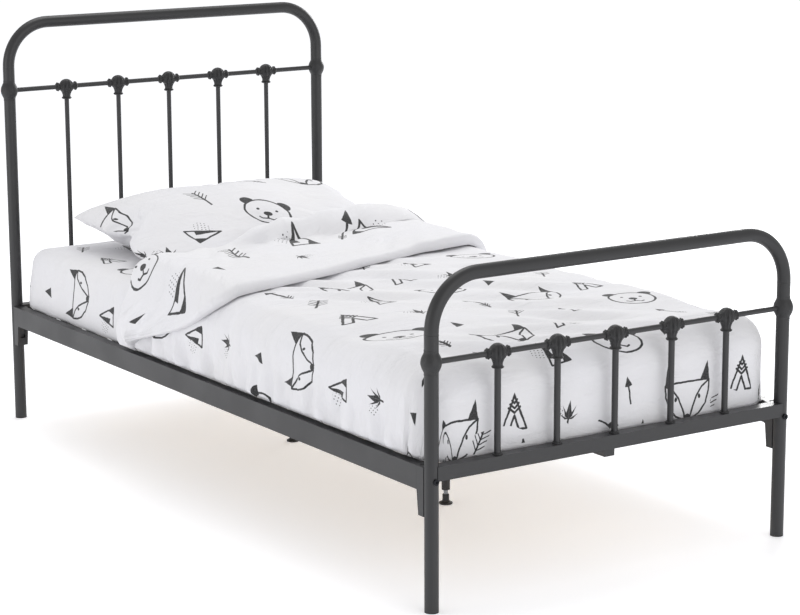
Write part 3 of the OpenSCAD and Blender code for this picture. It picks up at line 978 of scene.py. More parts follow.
@dataclass(frozen=True)
class SteelFrame:
    """The tube frame: its CAD nodes get their finishes, its knobs and welds are shaped here."""

    tube: float = 0.015
    knob: float = 0.02175
    fillet: float = 0.0075
    bend: float = 0.113
    bead: float = 0.0028

    def dress(self) -> None:
        """Give every CAD node the finish of its material slot."""
        for row in frame["record"]["subparts"]:
            finish = SLOT_FINISHES.get(row["material_slot"])
            if finish:
                finish.dress(frame["nodes"][row["node"]])

    def knob_profile(self) -> np.ndarray:
        """Closed outline of a post knob: inside the tube's wall, out to the ball over two fillets.

        The outside is the ball's circle, blended into the tube by the fillet's quarter wave.

        Returns:
            Pairs of radius and height.
        """
        top = self.knob + self.fillet * 0.55
        z = np.linspace(-top, top, 61)
        ball = np.sqrt(np.maximum(self.knob ** 2 - z ** 2, 0.0))
        k = 0.004
        wall = np.full_like(z, self.tube + 0.0002)
        soft = k * np.logaddexp(ball / k, wall / k) - k * 0.12
        fade = smooth((top - np.abs(z)) / (self.fillet * 0.9))
        radius = wall + (soft - wall) * fade
        inner = np.array([(self.tube - 0.0006, top), (self.tube - 0.0006, -top)])
        return np.concatenate([np.stack([radius, z], -1), inner, [[radius[0], z[0]]]])

    def knobs(self) -> None:
        """Shape the four post knobs."""
        for end in ("head", "foot"):
            for side in ("left", "right"):
                node = f"{end}_post_knob_{side}"
                points, faces = turned(self.knob_profile(), 64)
                low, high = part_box(node)
                centre = (np.array(low) + np.array(high)) / 2
                piece = weld(make_piece(f"{end}_knob_{side}", points + centre, faces))
                CAST_PAINT.dress(piece)
                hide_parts(node)
                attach(piece, "bed_frame")
                LOG.info("%s knob on the %s post", side, end)

    def bead_ring(self, centre: np.ndarray, radius: float, seed: int,
                  thick: float) -> Solid:
        """A weld bead round a rod that stands on a flat face.

        Its section is a circle whose size and height ripple round the rod like laid-down weld.

        Args:
            centre: The rod's axis where it meets the face.
            radius: The rod's radius.
            seed: Seed of the ripple.
            thick: The bead's radius.

        Returns:
            Points and faces of the ring.
        """
        around, section = 48, 10
        t = np.linspace(0, 2 * math.pi, around, endpoint=False)[:, None]
        s = np.linspace(0, 2 * math.pi, section, endpoint=False)[None, :]
        draw = np.random.default_rng(seed)
        ripple = 1 + 0.12 * np.cos(11 * t + draw.uniform(0, 6)) + 0.08 * np.cos(
            5 * t + draw.uniform(0, 6))
        out = radius + thick * 0.35 + thick * ripple * np.cos(s)
        up = thick * 0.25 + thick * ripple * np.sin(s)
        points = np.stack([out * np.cos(t), out * np.sin(t), np.broadcast_to(up, out.shape)], -1)
        here = np.arange(around * section).reshape(around, section)
        there = np.roll(here, -1, 0)
        faces = np.stack([here, there, np.roll(there, -1, 1), np.roll(here, -1, 1)], -1)
        return points + centre, faces.reshape(-1, 4)

    def welds(self) -> None:
        """Lay weld beads where spindles stand on the end rails and at the hoops' tube joints."""
        for end in ("head", "foot"):
            parts = []
            for number in range(1, 6):
                low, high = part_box(f"{end}_spindle_{number}")
                radius = (high[0] - low[0]) / 2
                centre = np.array(((low[0] + high[0]) / 2, (low[1] + high[1]) / 2, low[2]))
                parts.append(self.bead_ring(centre, radius, number * 7 + len(end), self.bead))
            low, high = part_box(f"{end}_hoop")
            for side in (-1, 1):
                seam = np.array(((high[0] - self.tube) * side, (low[1] + high[1]) / 2,
                                 high[2] - self.tube - self.bend - 0.004))
                parts.append(self.bead_ring(seam, self.tube - 0.0004, 91 + side, 0.0007))
            piece = weld(joined(f"{end}_welds", parts))
            FRAME_PAINT.dress(piece)
            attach(piece, "bed_frame")
            LOG.info("welds of the %s end", end)

    def build(self) -> None:
        """Dress the frame and shape its knobs and welds."""
        self.dress()
        self.knobs()
        self.welds()


@dataclass(frozen=True)
class CrossingCasting:
    """The casting where a spindle meets the cross bar: lobed ball, scalloped collars, fluted socket."""

    ball: float = 0.0195
    half: float = 0.031
    drop: float = 0.034
    bar: float = 0.006
    voxel: float = 0.00085
    lobe: float = 0.22
    scallop: float = 0.24
    flute: float = 0.20
    grain: float = 0.025

    def ball_part(self) -> Solid:
        """The ball: a circle spun round Z, swollen into ten lobes that fade towards its crown.

        Returns:
            Points and faces.
        """
        a = np.linspace(-math.pi / 2, math.pi / 2, 49)
        profile = np.stack([self.ball * np.cos(a), self.ball * np.sin(a)], -1)

        def lobes(t: np.ndarray, z: np.ndarray) -> np.ndarray:
            """Lobes' scale: ten lobes with a fine grain, strongest at the waist."""
            waist = 1 - smooth((z / self.ball - 0.6) / 0.4)
            grain = self.grain * np.cos(24 * t) * np.cos(z * 1500.0)
            return 1.0 - self.lobe * grooves(t) ** 1.2 * waist + grain * waist
        return turned(profile, 160, lobes)

    def collar_part(self, side: int) -> Solid:
        """A collar on the bar: a rounded ring profile spun round X, its rim cut into ten scallops.

        Args:
            side: -1 for the left one and 1 for the right one.

        Returns:
            Points and faces.
        """
        x = np.linspace(0.0, 1.0, 33)
        place = self.half - x * 0.020
        swell = np.exp(-((x - 0.27) / 0.20) ** 2)
        neck = np.exp(-((x - 0.95) / 0.30) ** 2)
        radius = self.bar + 0.0006 + 0.0058 * swell + 0.0075 * neck
        radius = radius * np.sqrt(np.clip(x / 0.06, 0, 1))
        profile = np.stack([np.append(radius, 0.0), np.append(place, place[-1])], -1)

        def lobes(t: np.ndarray, z: np.ndarray) -> np.ndarray:
            """Scallops' scale: ten rounded bites that are deepest on the rim."""
            rim = np.exp(-((z - (self.half - 0.0055)) / 0.004) ** 2)
            return 1.0 - self.scallop * grooves(t) * rim
        points, faces = turned(profile, 120, lobes)
        spun = np.stack([side * points[..., 2], points[..., 0], points[..., 1]], -1)
        return spun, faces

    def socket_part(self) -> Solid:
        """The socket: tapered, with ten flutes, and a flared ring round its foot.

        Returns:
            Points and faces.
        """
        s = np.linspace(0.0, 1.0, 49)
        z = -0.004 - s * (self.drop - 0.004)
        taper = 0.0165 - 0.0062 * smooth(s / 0.72)
        ring = 0.0030 * np.exp(-((s - 0.88) / 0.075) ** 2)
        radius = taper + ring
        radius = radius * np.sqrt(np.clip((1 - s) / 0.03, 0, 1))
        profile = np.stack([np.append(0.0, radius), np.append(z[0], z)], -1)

        def lobes(t: np.ndarray, z: np.ndarray) -> np.ndarray:
            """Flutes' scale: ten rounded grooves between the ball and the ring."""
            body = np.exp(-((z + 0.018) / 0.0085) ** 4)
            return 1.0 - self.flute * grooves(t) * body
        return turned(profile, 120, lobes)

    def shape(self) -> Mesh:
        """One casting: its parts fused by a fine voxel remesh and softened like poured metal.

        Returns:
            The mesh, centred on the crossing of bar and spindle.
        """
        piece = joined("casting_pattern", [self.ball_part(), self.collar_part(-1),
                                           self.collar_part(1), self.socket_part()])
        weld(piece)
        fuse = piece.modifiers.new("fuse", "REMESH")
        fuse.mode, fuse.voxel_size = "VOXEL", self.voxel
        fuse.use_smooth_shade = True
        soften = piece.modifiers.new("soften", "SMOOTH")
        soften.factor, soften.iterations = 0.5, 2
        applied(piece)
        mesh = piece.data
        bpy.data.objects.remove(piece)
        return mesh

    def build(self) -> None:
        """Set a copy of the casting in each of its ten places."""
        pattern = self.shape()
        for end, bar in (("head", "head_cross_bar"), ("foot", "foot_cross_bar")):
            axis = mid_of(bar)
            for number in range(1, 6):
                node = f"{end}_casting_{number}"
                place = np.array((mid_of(node)[0], axis[1], axis[2]))
                mesh = pattern.copy()
                mesh.transform(Matrix.Translation(place.tolist()))
                piece = bpy.data.objects.new(f"{end}_crossing_{number}", mesh)
                bpy.context.scene.collection.objects.link(piece)
                CAST_PAINT.dress(piece)
                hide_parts(node)
                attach(piece, "bed_frame")
            LOG.info("castings of the %s end", end)


# -------------------------------------------------------------------- bedding

@dataclass(frozen=True)
class Draping:
    """Cloth laid over a box with rounded edges, which hangs down its sides.

    A point of the flat cloth is split into the nearest point of the box's inner rectangle and the
    way out from it. Along that way the cloth first turns down round a quarter circle and then
    hangs straight.
    """

    half_width: float
    foot: float
    head: float
    radius: float

    def lay(self, a: np.ndarray, b: np.ndarray, top: np.ndarray) -> np.ndarray:
        """Place flat points on the box.

        Args:
            a: Distance across the flat cloth from the middle.
            b: Distance along the flat cloth.
            top: Height of the top under each point.

        Returns:
            The points in space.
        """
        x = np.clip(a, -self.half_width + self.radius, self.half_width - self.radius)
        y = np.clip(b, self.foot + self.radius, self.head - self.radius)
        out_x, out_y = a - x, b - y
        way = np.hypot(out_x, out_y)
        safe = np.maximum(way, 1e-9)
        turn = np.clip(way / self.radius, 0.0, math.pi / 2)
        out = self.radius * np.sin(turn)
        down = self.radius * (1 - np.cos(turn)) + np.maximum(way - self.radius * math.pi / 2, 0)
        return np.stack([x + out_x / safe * out, y + out_y / safe * out, top - down], -1)


def fan(f: np.ndarray, g: np.ndarray) -> tuple[np.ndarray, np.ndarray]:
    """Turn the square corner of a grid into a rounded one.

    Points at the same greatest fraction lie on one arc: the fraction is its radius, and the lesser
    fraction over the greater is its share of an eighth of a turn.

    Args:
        f: Fraction across, from 0 to 1, with its sign.
        g: Fraction along, with its sign.

    Returns:
        The two fractions of the rounded corner.
    """
    f, g = np.broadcast_arrays(f, g)
    across, along = np.abs(f), np.abs(g)
    reach = np.maximum(across, along)
    least = np.minimum(across, along)
    share = least / np.maximum(reach, 1e-9) * math.pi / 4
    angle = np.where(across >= along, share, math.pi / 2 - share)
    angle = np.where(reach > 0, angle, 0.0)
    return np.sign(f) * reach * np.cos(angle), np.sign(g) * reach * np.sin(angle)


def stations(low: float, high: float, count: int, edge: int) -> tuple[np.ndarray, np.ndarray]:
    """Places along one way of a cloth: even over the top, then held where its edges turn down.

    Args:
        low: Where the near edge turns.
        high: Where the far edge turns.
        count: Points on the top.
        edge: Points on each hanging edge.

    Returns:
        The places, and the share of the hanging edge that each has run, with its sign.
    """
    outer = np.linspace(0.0, 1.0, edge + 1)[1:]
    place = np.concatenate([np.full(edge, low), np.linspace(low, high, count), np.full(edge, high)])
    return place, np.concatenate([-outer[::-1], np.zeros(count), outer])


def sewn(upper: np.ndarray, lower: np.ndarray, print_top: np.ndarray,
         print_low: np.ndarray) -> tuple[np.ndarray, np.ndarray, np.ndarray]:
    """Sew two grids edge to edge; they share the upper one's border points.

    Args:
        upper: Points of the upper panel.
        lower: Points of the lower panel.
        print_top: Place of each point on the upper panel's cloth.
        print_low: The same for the lower panel.

    Returns:
        The points, the faces, upper ones first, and the place of every corner on the flat cloth.
    """
    n, m = upper.shape[:2]
    inside = np.zeros((n, m), bool)
    inside[1:-1, 1:-1] = True
    below = np.arange(n * m).reshape(n, m)
    below[inside] = n * m + np.arange(inside.sum())
    top, low = quads(n, m), quads(n, m, turn=True)
    points = np.concatenate([upper.reshape(-1, 3), lower[inside]])
    corners = np.concatenate([print_top.reshape(-1, 2)[top.ravel()],
                              print_low.reshape(-1, 2)[low.ravel()]])
    return points, np.concatenate([top, below.ravel()[low]]), corners


@dataclass(frozen=True)
class Mattress:
    """The mattress: quilted ticking, crowned, hidden under its fitted sheet."""

    inset: float = 0.0022
    radius: float = 0.040
    crown: float = 0.004

    def build(self) -> None:
        """Build the two faces as draped grids that meet half way down, and weld them."""
        low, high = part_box("mattress")
        half = (high[0] - low[0]) / 2 - self.inset
        drape = Draping(half, low[1] + self.inset, high[1] - self.inset, self.radius)
        middle = (low[2] + high[2]) / 2
        skirt = self.radius * math.pi / 2 + (high[2] - middle - self.inset - self.radius)
        parts = []
        for side in (1, -1):
            a, b, top = self.grid(drape, skirt)
            points = drape.lay(a, b, top)
            rise = high[2] - self.inset if side > 0 else middle - low[2] - self.inset + middle
            points[..., 2] = np.maximum(points[..., 2] + rise, middle)
            if side < 0:
                points[..., 2] = 2 * middle - points[..., 2]
            parts.append((points, quads(*a.shape, turn=side < 0)))
        piece = weld(joined("mattress_core", parts), 0.0004)
        TICKING.dress(piece)
        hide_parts("mattress")
        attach(piece, "mattress")
        LOG.info("mattress")

    def grid(self, drape: Draping, skirt: float) -> tuple[np.ndarray, np.ndarray, np.ndarray]:
        """Flat grid of one face, rounded at its corners.

        Args:
            drape: The box that it is laid on.
            skirt: Length of cloth that hangs down each side.

        Returns:
            Distance across, distance along and the crowned height at each point.
        """
        wide, near, far = (drape.half_width - self.radius, drape.foot + self.radius,
                           drape.head - self.radius)
        x, f = stations(-wide, wide, 61, 8)
        y, g = stations(near, far, 121, 8)
        ff, gg = fan(f[:, None], g[None, :])
        a, b = x[:, None] + ff * skirt, y[None, :] + gg * skirt
        swell = np.cos(x / wide * math.pi / 2)[:, None] * np.cos(
            (y - (near + far) / 2) / (far - near) * math.pi)[None, :]
        return a, b, -self.crown * (1 - np.clip(swell, 0, 1)) * 0.5


@dataclass(frozen=True)
class FittedSheet:
    """The fitted sheet: one layer of percale pulled over the mattress, elasticated hem underneath."""

    radius: float = 0.042
    under_radius: float = 0.003
    hem: float = 0.055
    proud: float = 0.0004
    belly: float = 0.0122
    pull: float = 0.0011
    sag: float = 0.0010
    print_at: Pair = (0.114, 0.062)

    def build(self) -> None:
        """Lay the sheet, turn its hem under and crease it near its corners."""
        low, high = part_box("fitted_sheet")
        half = (high[0] - low[0]) / 2 - self.proud
        near, far = low[1] + self.proud + 0.001, high[1] - self.proud
        drape = Draping(half, near, far, self.radius)
        height = high[2] - low[2]
        wall = height - self.radius - self.under_radius
        skirt = self.radius * math.pi / 2 + wall + self.under_radius * math.pi / 2 + self.hem
        wide = half - self.radius
        y0, y1 = near + self.radius, far - self.radius
        x, f = stations(-wide, wide, 62, 30)
        y, g = stations(y0, y1, 130, 30)
        ff, gg = fan(f[:, None], g[None, :])
        a, b = x[:, None] + ff * skirt, y[None, :] + gg * skirt
        points = drape.lay(a, b, np.full(a.shape, high[2]))
        way = np.stack([a - np.clip(a, -wide, wide), b - np.clip(b, y0, y1)], -1)
        out = np.hypot(way[..., 0], way[..., 1])
        way /= np.maximum(out, 1e-9)[..., None]
        start = self.radius * math.pi / 2 + wall
        turn = np.clip((out - start) / self.under_radius, 0, math.pi / 2)
        inward = np.maximum(out - start - self.under_radius * math.pi / 2, 0)
        floor = low[2] + 0.0006
        belly = smooth((out - self.radius) / wall) * smooth((start + 0.02 - out) / 0.03)
        tuck = (self.under_radius * (1 - np.cos(turn)) + inward) * (out > start)
        points[..., :2] += way * (self.belly * belly - tuck)[..., None]
        points[..., 2] = np.where(out > start, floor + self.under_radius * (1 - np.sin(turn)),
                                  points[..., 2])
        normal = grid_normals(points)
        corner = np.minimum(np.abs(ff), np.abs(gg))
        pull = Waves(5, 0.9, 1.6, (0.05, 0.12))(a, b) * smooth(corner * 4)
        side = Waves(6, 0.0, 0.3, (0.16, 0.4))(b, a) * smooth(out / 0.1)
        crease = self.pull * np.abs(pull) + self.sag * (side ** 2) * (out < start)
        points -= normal * crease[..., None]
        flat = np.stack([a + self.print_at[0], b + self.print_at[1]], -1).reshape(-1, 2)
        faces = quads(*a.shape)
        piece = make_piece("sheet", points, faces, flat[faces.ravel()])
        wall_mod = piece.modifiers.new("cloth", "SOLIDIFY")
        wall_mod.thickness, wall_mod.offset = 0.0007, -1.0
        PERCALE.dress(piece)
        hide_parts("fitted_sheet")
        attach(piece, "mattress")


@dataclass(frozen=True)
class Pillow:
    """The pillow: two panels sewn edge to edge and blown up like its filling, then leant back."""

    flat: Pair = (0.75, 0.50)
    cells: tuple[int, int] = (68, 46)
    crown: float = 0.617
    lean: float = 0.14
    straighten: float = 1.05
    press: float = 0.66
    sink: float = 0.3
    shoulder: float = 0.68
    left_shoulder: float = 0.34
    deep: float = 0.084
    ears: float = 0.022
    soft: float = 0.010
    frames: int = 26
    print_at: Pair = (0.135, -0.045)
    print_under: float = 0.12

    def pouch(self) -> tuple[np.ndarray, np.ndarray, np.ndarray]:
        """The two panels, flat but for a slight swelling, sharing their border points.

        The swelling is the product of two parabolas, to the power of a half.

        Returns:
            The points, the faces and the place of every corner on the flat cloth.
        """
        n, m = self.cells
        u = np.linspace(-1, 1, n)[:, None]
        v = np.linspace(-1, 1, m)[None, :]
        x = np.broadcast_to(u * self.flat[0] / 2, (n, m))
        y = np.broadcast_to(v * self.flat[1] / 2, (n, m))
        swell = 0.020 * np.sqrt(np.clip((1 - u ** 2) * (1 - v ** 2), 0, 1))
        flat = np.stack([x, y], -1)
        return sewn(np.stack([x, y, swell], -1), np.stack([x, y, -swell], -1),
                    flat + self.print_at, flat * (-1, 1) + self.print_under)

    def blown(self, points: np.ndarray, faces: np.ndarray) -> np.ndarray:
        """Blow the pouch up by a cloth simulation, without gravity.

        Args:
            points: The flat pouch.
            faces: Its faces.

        Returns:
            The points of the full pouch.
        """
        dummy = make_piece("pillow_pouch", points, faces)
        cloth = dummy.modifiers.new("fill", "CLOTH")
        setting = cloth.settings
        setting.quality = 6
        setting.mass = 0.25
        setting.use_pressure = True
        setting.uniform_pressure_force = 6.0
        setting.tension_stiffness = setting.compression_stiffness = 25.0
        setting.shear_stiffness = 8.0
        setting.bending_stiffness = 0.08
        setting.air_damping = 2.5
        setting.effector_weights.gravity = 0.0
        cloth.collision_settings.use_self_collision = False
        scene = bpy.context.scene
        scene.frame_start, scene.frame_end = 1, self.frames
        cloth.point_cache.frame_start, cloth.point_cache.frame_end = 1, self.frames
        for step in range(1, self.frames + 1):
            scene.frame_set(step)
        graph = bpy.context.evaluated_depsgraph_get()
        out = mesh_points(dummy.evaluated_get(graph).data)
        scene.frame_set(1)
        bpy.data.objects.remove(dummy)
        return out

    def placed(self, points: np.ndarray, flat: np.ndarray) -> np.ndarray:
        """Fit the pouch to its room, lean it back and press its underside flat on the mattress.

        The seams, which the filling has drawn in, are let out again by a share of their dip; the
        thickness is raised to a power below one, which fills the shoulders.

        Args:
            points: The full pouch, round the origin.
            flat: The pouch before it was filled.

        Returns:
            The points in the bed.
        """
        low, high = np.array(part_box("pillow")[0]), np.array(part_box("pillow")[1])
        size = points.max(0) - points.min(0)
        out = points - (points.max(0) + points.min(0)) / 2
        u, v = flat[:, 0] * 2 / self.flat[0], flat[:, 1] * 2 / self.flat[1]
        for way, mine, other in ((0, u, v), (1, v, u)):
            rim = np.abs(mine) > 0.999
            order = np.argsort(other[rim & (mine > 0)])
            reach = np.abs(out[rim & (mine > 0), way])[order]
            dip = np.interp(other, other[rim & (mine > 0)][order], reach)
            out[:, way] += np.sign(mine) * self.straighten * (reach.max() - dip) * mine ** 2
        out[:, 0] *= (high[0] - low[0] - 0.004) / size[0]
        out[:, 1] *= (high[1] - low[1]) * 0.985 / size[1]
        half = size[2] / 2
        blunt = self.shoulder + self.left_shoulder * smooth((-u - 0.40) / 0.5)
        out[:, 2] = self.deep * np.sign(out[:, 2]) * (np.abs(out[:, 2]) / half) ** blunt
        out[:, 2] -= self.ears * np.clip(np.abs(u * v), 0, 1) ** 2
        cos, sin = math.cos(self.lean), math.sin(self.lean)
        y, z = out[:, 1] * cos - out[:, 2] * sin, out[:, 1] * sin + out[:, 2] * cos
        out[:, 1], out[:, 2] = y, z
        out[:, 0] += (low[0] + high[0]) / 2
        out[:, 1] += (low[1] + high[1]) / 2
        out[:, 2] += self.crown - out[:, 2].max()
        floor = low[2] + 0.0012
        press = self.press + (1 - self.press) * smooth((out[:, 1] - 0.42) / 0.26)
        sunk = smooth((out[:, 0] - 0.05) / 0.28) * (1 - smooth((out[:, 1] - 0.55) / 0.28))
        out[:, 2] = floor + (out[:, 2] - floor) * press * (1 - self.sink * sunk)
        out[:, 2] = floor + self.soft * np.logaddexp(0.0, (out[:, 2] - floor) / self.soft)
        return out

    def build(self) -> np.ndarray:
        """Build the pillow.

        Returns:
            Its points, for the duvet that lies on it.
        """
        points, faces, corners = self.pouch()
        points = self.placed(self.blown(points, faces), points)
        piece = make_piece("pillow_in_case", points, faces, corners)
        finer = piece.modifiers.new("finer", "SUBSURF")
        finer.levels = finer.render_levels = 1
        CASE_PERCALE.dress(piece)
        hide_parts("pillow")
        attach(piece, "pillow")
        LOG.info("pillow, %d points", len(points))
        return points


@dataclass(frozen=True)
class Duvet:
    """The duvet: drapes over both sides and the foot, its head end turned back on the slant."""

    step: float = 0.0095
    radius: float = 0.072
    thick: float = 0.036
    side_thick: float = 0.025
    foot_thick: float = 0.0105
    flap_thick: float = 0.022
    hem: float = 0.022
    foot_drop: float = 0.0085
    loft: float = 0.0385
    gap: float = 0.0012
    pulls: float = 0.0068
    broad: float = 0.0065
    drops: float = 0.0058
    gathers: float = 0.0026
    foot_folds: float = 0.0020
    slide: Pair = (0.067, 0.118)
    slide_along: float = 0.036
    lengths: Pair = (1.62, 0.5)
    print_at: tuple[float, float, float, float] = (0.437, 0.225, 0.06, 0.19)
    crease: tuple = ((-0.66, 0.285), (-0.61, 0.35), (-0.555, 0.335), (-0.49, 0.275), (-0.42, 0.32),
                     (-0.377, 0.36), (-0.30, 0.355), (-0.162, 0.385), (-0.076, 0.40),
                     (0.018, 0.422), (0.10, 0.425), (0.239, 0.455), (0.383, 0.475), (0.64, 0.50))
    edge: tuple = ((-0.66, 0.27), (-0.62, 0.30), (-0.60, 0.285), (-0.565, 0.144), (-0.52, 0.0),
                   (-0.475, -0.075), (-0.44, -0.11), (-0.34, -0.075), (-0.20, -0.035),
                   (-0.067, 0.005), (0.095, 0.065), (0.242, 0.11), (0.418, 0.14), (0.64, 0.20))

    def pillow_height(self, points: np.ndarray, x: np.ndarray, y: np.ndarray,
                      level: float) -> np.ndarray:
        """Height of the pillow's top over a grid of places.

        The highest point in each square of 15 mm is kept, the gaps are filled by softening, and
        the height is read between the squares' centres.

        Args:
            points: The pillow's points.
            x: Places across.
            y: Places along.
            level: Height where there is no pillow.

        Returns:
            The height at every place.
        """
        cell = 0.015
        origin = points[:, :2].min(0) - 6 * cell
        count = np.ceil((points[:, :2].max(0) - origin) / cell).astype(int) + 6
        field = np.full(count, level)
        spot = ((points[:, :2] - origin) / cell).astype(int)
        np.maximum.at(field, (spot[:, 0], spot[:, 1]), points[:, 2])
        field = relax(field, 4)
        gx = np.clip((x - origin[0]) / cell - 0.5, 0, count[0] - 1.001)
        gy = np.clip((y - origin[1]) / cell - 0.5, 0, count[1] - 1.001)
        i, j = gx.astype(int), gy.astype(int)
        u, v = gx - i, gy - j
        return ((1 - u) * (1 - v) * field[i, j] + u * (1 - v) * field[i + 1, j]
                + (1 - u) * v * field[i, j + 1] + u * v * field[i + 1, j + 1])

    def build(self, pillow: np.ndarray) -> None:
        """Build the duvet over the mattress and the pillow.

        The middle surface is laid on the box, rolled over at the crease and laid back on itself;
        the two skins stand half a thickness off it, and meet at the hems.

        Args:
            pillow: The pillow's points.
        """
        low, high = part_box("duvet")
        sheet_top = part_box("fitted_sheet")[1][2]
        top = sheet_top + self.loft
        half = (high[0] - low[0]) / 2 - 0.0012
        foot = low[1] + 0.0008
        drape = Draping(half, foot, 3.0, self.radius)
        wide = half - self.radius
        near = foot + self.radius
        skirt = self.radius * math.pi / 2 + (top - self.radius - low[2] - 0.0015)
        steps, rows, back = (round(reach / self.step) for reach in (skirt, *self.lengths))
        fold = 9
        x, f = stations(-wide, wide, round(2 * wide / self.step), steps)
        columns = x + f * skirt
        crease = run(columns, self.crease, 0.025)
        edge = np.minimum(run(columns, self.edge, 0.014), crease - 0.025)
        share, g = stations(0.0, 1.0, rows, steps)
        share, g = share[:steps + rows], g[:steps + rows]
        y = near + (crease[:, None] - near) * share[None, :]
        ff, gg = fan(f[:, None], g[None, :])
        a, b = x[:, None] + ff * skirt, y + gg * (skirt + self.foot_drop)
        gone = np.linspace(0, 1, back + 1)[1:][None, :]
        b_flap = crease[:, None] + (edge - crease)[:, None] * gone
        a_flap = np.broadcast_to(columns[:, None], b_flap.shape)

        # The single layer is laid first, and the flap is laid on it and lifted off it afterwards.
        def outside(a_: np.ndarray, b_: np.ndarray) -> np.ndarray:
            """Outer surface of the single layer: the draped box, raised over the pillow."""
            at_x, at_y = np.clip(a_, -wide, wide), np.maximum(b_, near)
            bump = self.pillow_height(pillow, at_x, at_y, sheet_top - 0.03)
            k = 0.008
            raised = k * np.logaddexp(top / k, (bump + self.thick + 0.003) / k)
            return drape.lay(a_, b_, raised)

        base_out = outside(a, b)
        flap_out = outside(a_flap, b_flap)
        base_n = grid_normals(base_out)
        flap_n = -grid_normals(flap_out)
        out_side = smooth((np.abs(a) - wide) / 0.09)
        out_foot = smooth((near - b) / 0.09)
        thick0 = self.thick + (self.side_thick - self.thick) * out_side
        thick0 = thick0 + (self.foot_thick - thick0) * out_foot
        left = smooth((-columns - 0.1) / 0.35)[:, None]
        flap_side = smooth((np.abs(a_flap) - wide) / 0.09)
        right = smooth((columns - 0.12) / 0.2)[:, None]
        thick1 = self.flap_thick * (0.9 + 0.4 * left + 0.45 * right) * (1 - 0.22 * flap_side)
        mid0 = base_out - base_n * (thick0 / 2)[..., None]
        mid1 = flap_out + flap_n * (self.gap + thick1 / 2)[..., None]
        # The roll joins them: half a turn whose radius takes in half of both thicknesses.
        last, first = base_out[:, -1], thick0[:, -1]
        joint = thick1[:, 0]
        radius = (first / 2 + self.gap + joint / 2) / 2
        lift = self.gap + joint / 2 - radius
        ahead = np.gradient(base_out, axis=1)[:, -1]
        ahead /= np.linalg.norm(ahead, axis=-1, keepdims=True)
        out_n = base_n[:, -1]
        bend = np.linspace(0, math.pi, fold + 2)[1:-1][None, :, None]
        puff = (1.25 + 0.55 * left)[..., None]
        roll = (last[:, None] + out_n[:, None] * lift[:, None, None] + radius[:, None, None] * (
            -np.cos(bend) * out_n[:, None] + puff * np.sin(bend) * ahead[:, None]))
        mid = np.concatenate([mid0, roll, mid1], 1)
        half_thick = np.concatenate([thick0 / 2, np.repeat((radius * 0.86)[:, None], fold, 1),
                                     thick1 / 2], 1)
        half_thick = relax(half_thick, 6, rim=True)
        mid = relax(mid, 3, rim=True)

        # Places on the flat cloth run on through the roll and back along the flap.
        run_a = np.concatenate([a, np.repeat(columns[:, None], fold, 1), a_flap], 1)
        length = np.concatenate([b, crease[:, None] + np.linspace(0.004, 0.05, fold)[None, :],
                                 2 * crease[:, None] + 0.055 - b_flap], 1)
        self.skins(mid, half_thick, run_a, length, steps + rows, near, wide)

    def skins(self, mid: np.ndarray, half: np.ndarray, across: np.ndarray, along: np.ndarray,
              single: int, near: float, wide: float) -> None:
        """Stand the two skins off the middle surface, wrinkle them and make the piece.

        Args:
            mid: The middle surface.
            half: Half the thickness at each point.
            across: Distance across the flat cloth.
            along: Distance along the flat cloth.
            single: Number of points along the cloth before it rolls back.
            near: Where the foot's edge starts to turn.
            wide: Where the sides' edges start to turn.
        """
        normal = grid_normals(mid)
        n, m = half.shape
        i = np.minimum(np.arange(n), np.arange(n)[::-1])[:, None]
        j = np.minimum(np.arange(m), np.arange(m)[::-1])[None, :]
        edge = np.clip(1 - np.minimum(i, j) * self.step / self.hem, 0, 1)
        shut = np.sqrt(np.clip(1 - edge ** 2, 0, 1))
        shift_out = (0.8 * half * (1 - shut))[..., None] * normal
        half = half * shut
        upper = mid + shift_out + normal * half[..., None]
        under = mid + shift_out - normal * half[..., None]

        side = smooth((np.abs(across) - wide) / 0.10)
        foot = smooth((near + 0.02 - along) / 0.12)
        base = np.zeros((n, m), bool)
        base[:, :single] = True
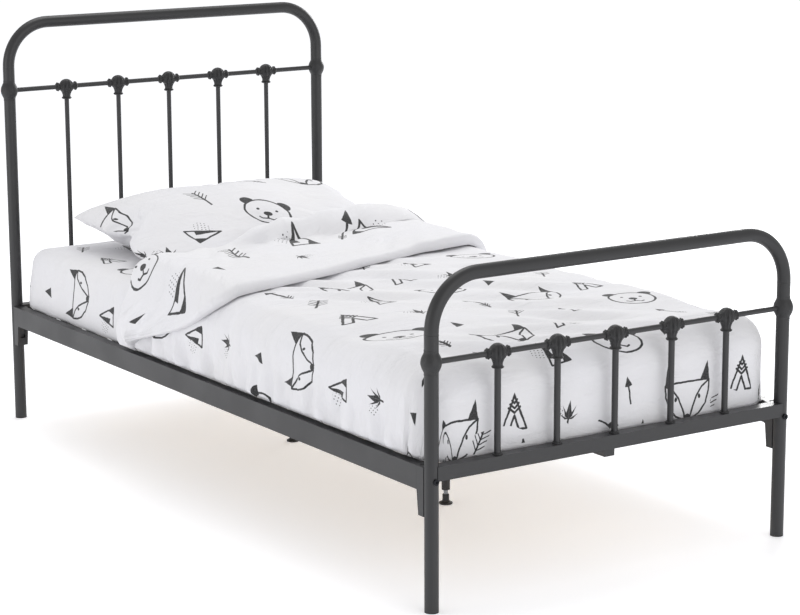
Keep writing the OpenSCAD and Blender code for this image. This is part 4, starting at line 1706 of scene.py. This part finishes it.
        # Slanting pulls and broad waves on top, gathers that grow towards the side hems, a calm foot.
        heading = math.atan2(0.83, 0.55)
        long_fold = Waves(11, heading, 0.17, (0.07, 0.16), 26)(across, along)
        broad = Waves(12, heading, 0.45, (0.22, 0.5), 18)(across, along)
        patch = smooth(0.5 + 0.6 * Waves(13, 0.4, 1.5, (0.35, 0.8), 14)(across, along))
        drop = Waves(14, 0.0, 0.16, (0.045, 0.11), 26)(along, across)
        gather = Waves(15, 0.0, 0.2, (0.022, 0.04), 16)(along, across)
        low_down = smooth((np.abs(across) - wide - 0.10) / 0.10)
        wrinkle = (self.pulls * long_fold * patch + self.broad * broad) * (1 - 0.75 * foot)
        wrinkle = wrinkle * (1 - 0.35 * side) + side * (1 - foot) * (
            self.drops * drop * (0.4 + low_down) + self.gathers * gather * low_down)
        foot_fold = Waves(16, 0.0, 0.25, (0.10, 0.26), 18)(across, along)
        wrinkle += foot * self.foot_folds * foot_fold
        calm = shut * np.where(base, 1.0, 0.75)
        keep = calm * wrinkle
        upper += normal * np.where(base, keep, 0.3 * keep)[..., None]
        under += normal * np.where(base, 0.0, keep)[..., None]
        under -= normal * (0.004 * ~base * shut * np.clip(broad, 0, 2))[..., None]

        # The print slides a little sideways from the left hem to the foot.
        at_foot = smooth((near + 0.06 - along) / 0.15) * smooth((across + 0.50) / 0.06)
        shift = self.slide[0] * smooth((across + 0.5) / 0.3)
        shift = shift + at_foot * (self.slide[1] - shift)
        top_x, top_y, low_x, low_y = self.print_at
        print_top = np.stack([across + top_x - shift, along + top_y - self.slide_along * at_foot], -1)
        print_low = np.stack([across * -1 + low_x, along + low_y], -1)
        points, faces, corners = sewn(upper, under, print_top, print_low)
        piece = make_piece("duvet_in_cover", points, faces, corners)
        PERCALE.dress(piece)
        piece.data.materials.append(REVERSE_PERCALE.material())
        side_of = np.arange(len(faces)) >= len(faces) // 2
        piece.data.polygons.foreach_set("material_index", side_of.astype(np.int32))
        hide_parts("duvet")
        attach(piece, "duvet")
        LOG.info("duvet, %d points", len(points))


def main() -> None:
    """Build the studio, dress the frame and make the bed."""
    logging.basicConfig(level=logging.INFO, format="%(name)s: %(message)s")
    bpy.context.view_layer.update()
    Studio().build()
    SteelFrame().build()
    CrossingCasting().build()
    Mattress().build()
    FittedSheet().build()
    pillow = Pillow().build()
    Duvet().build(pillow)


if __name__ == "__main__":
    main()
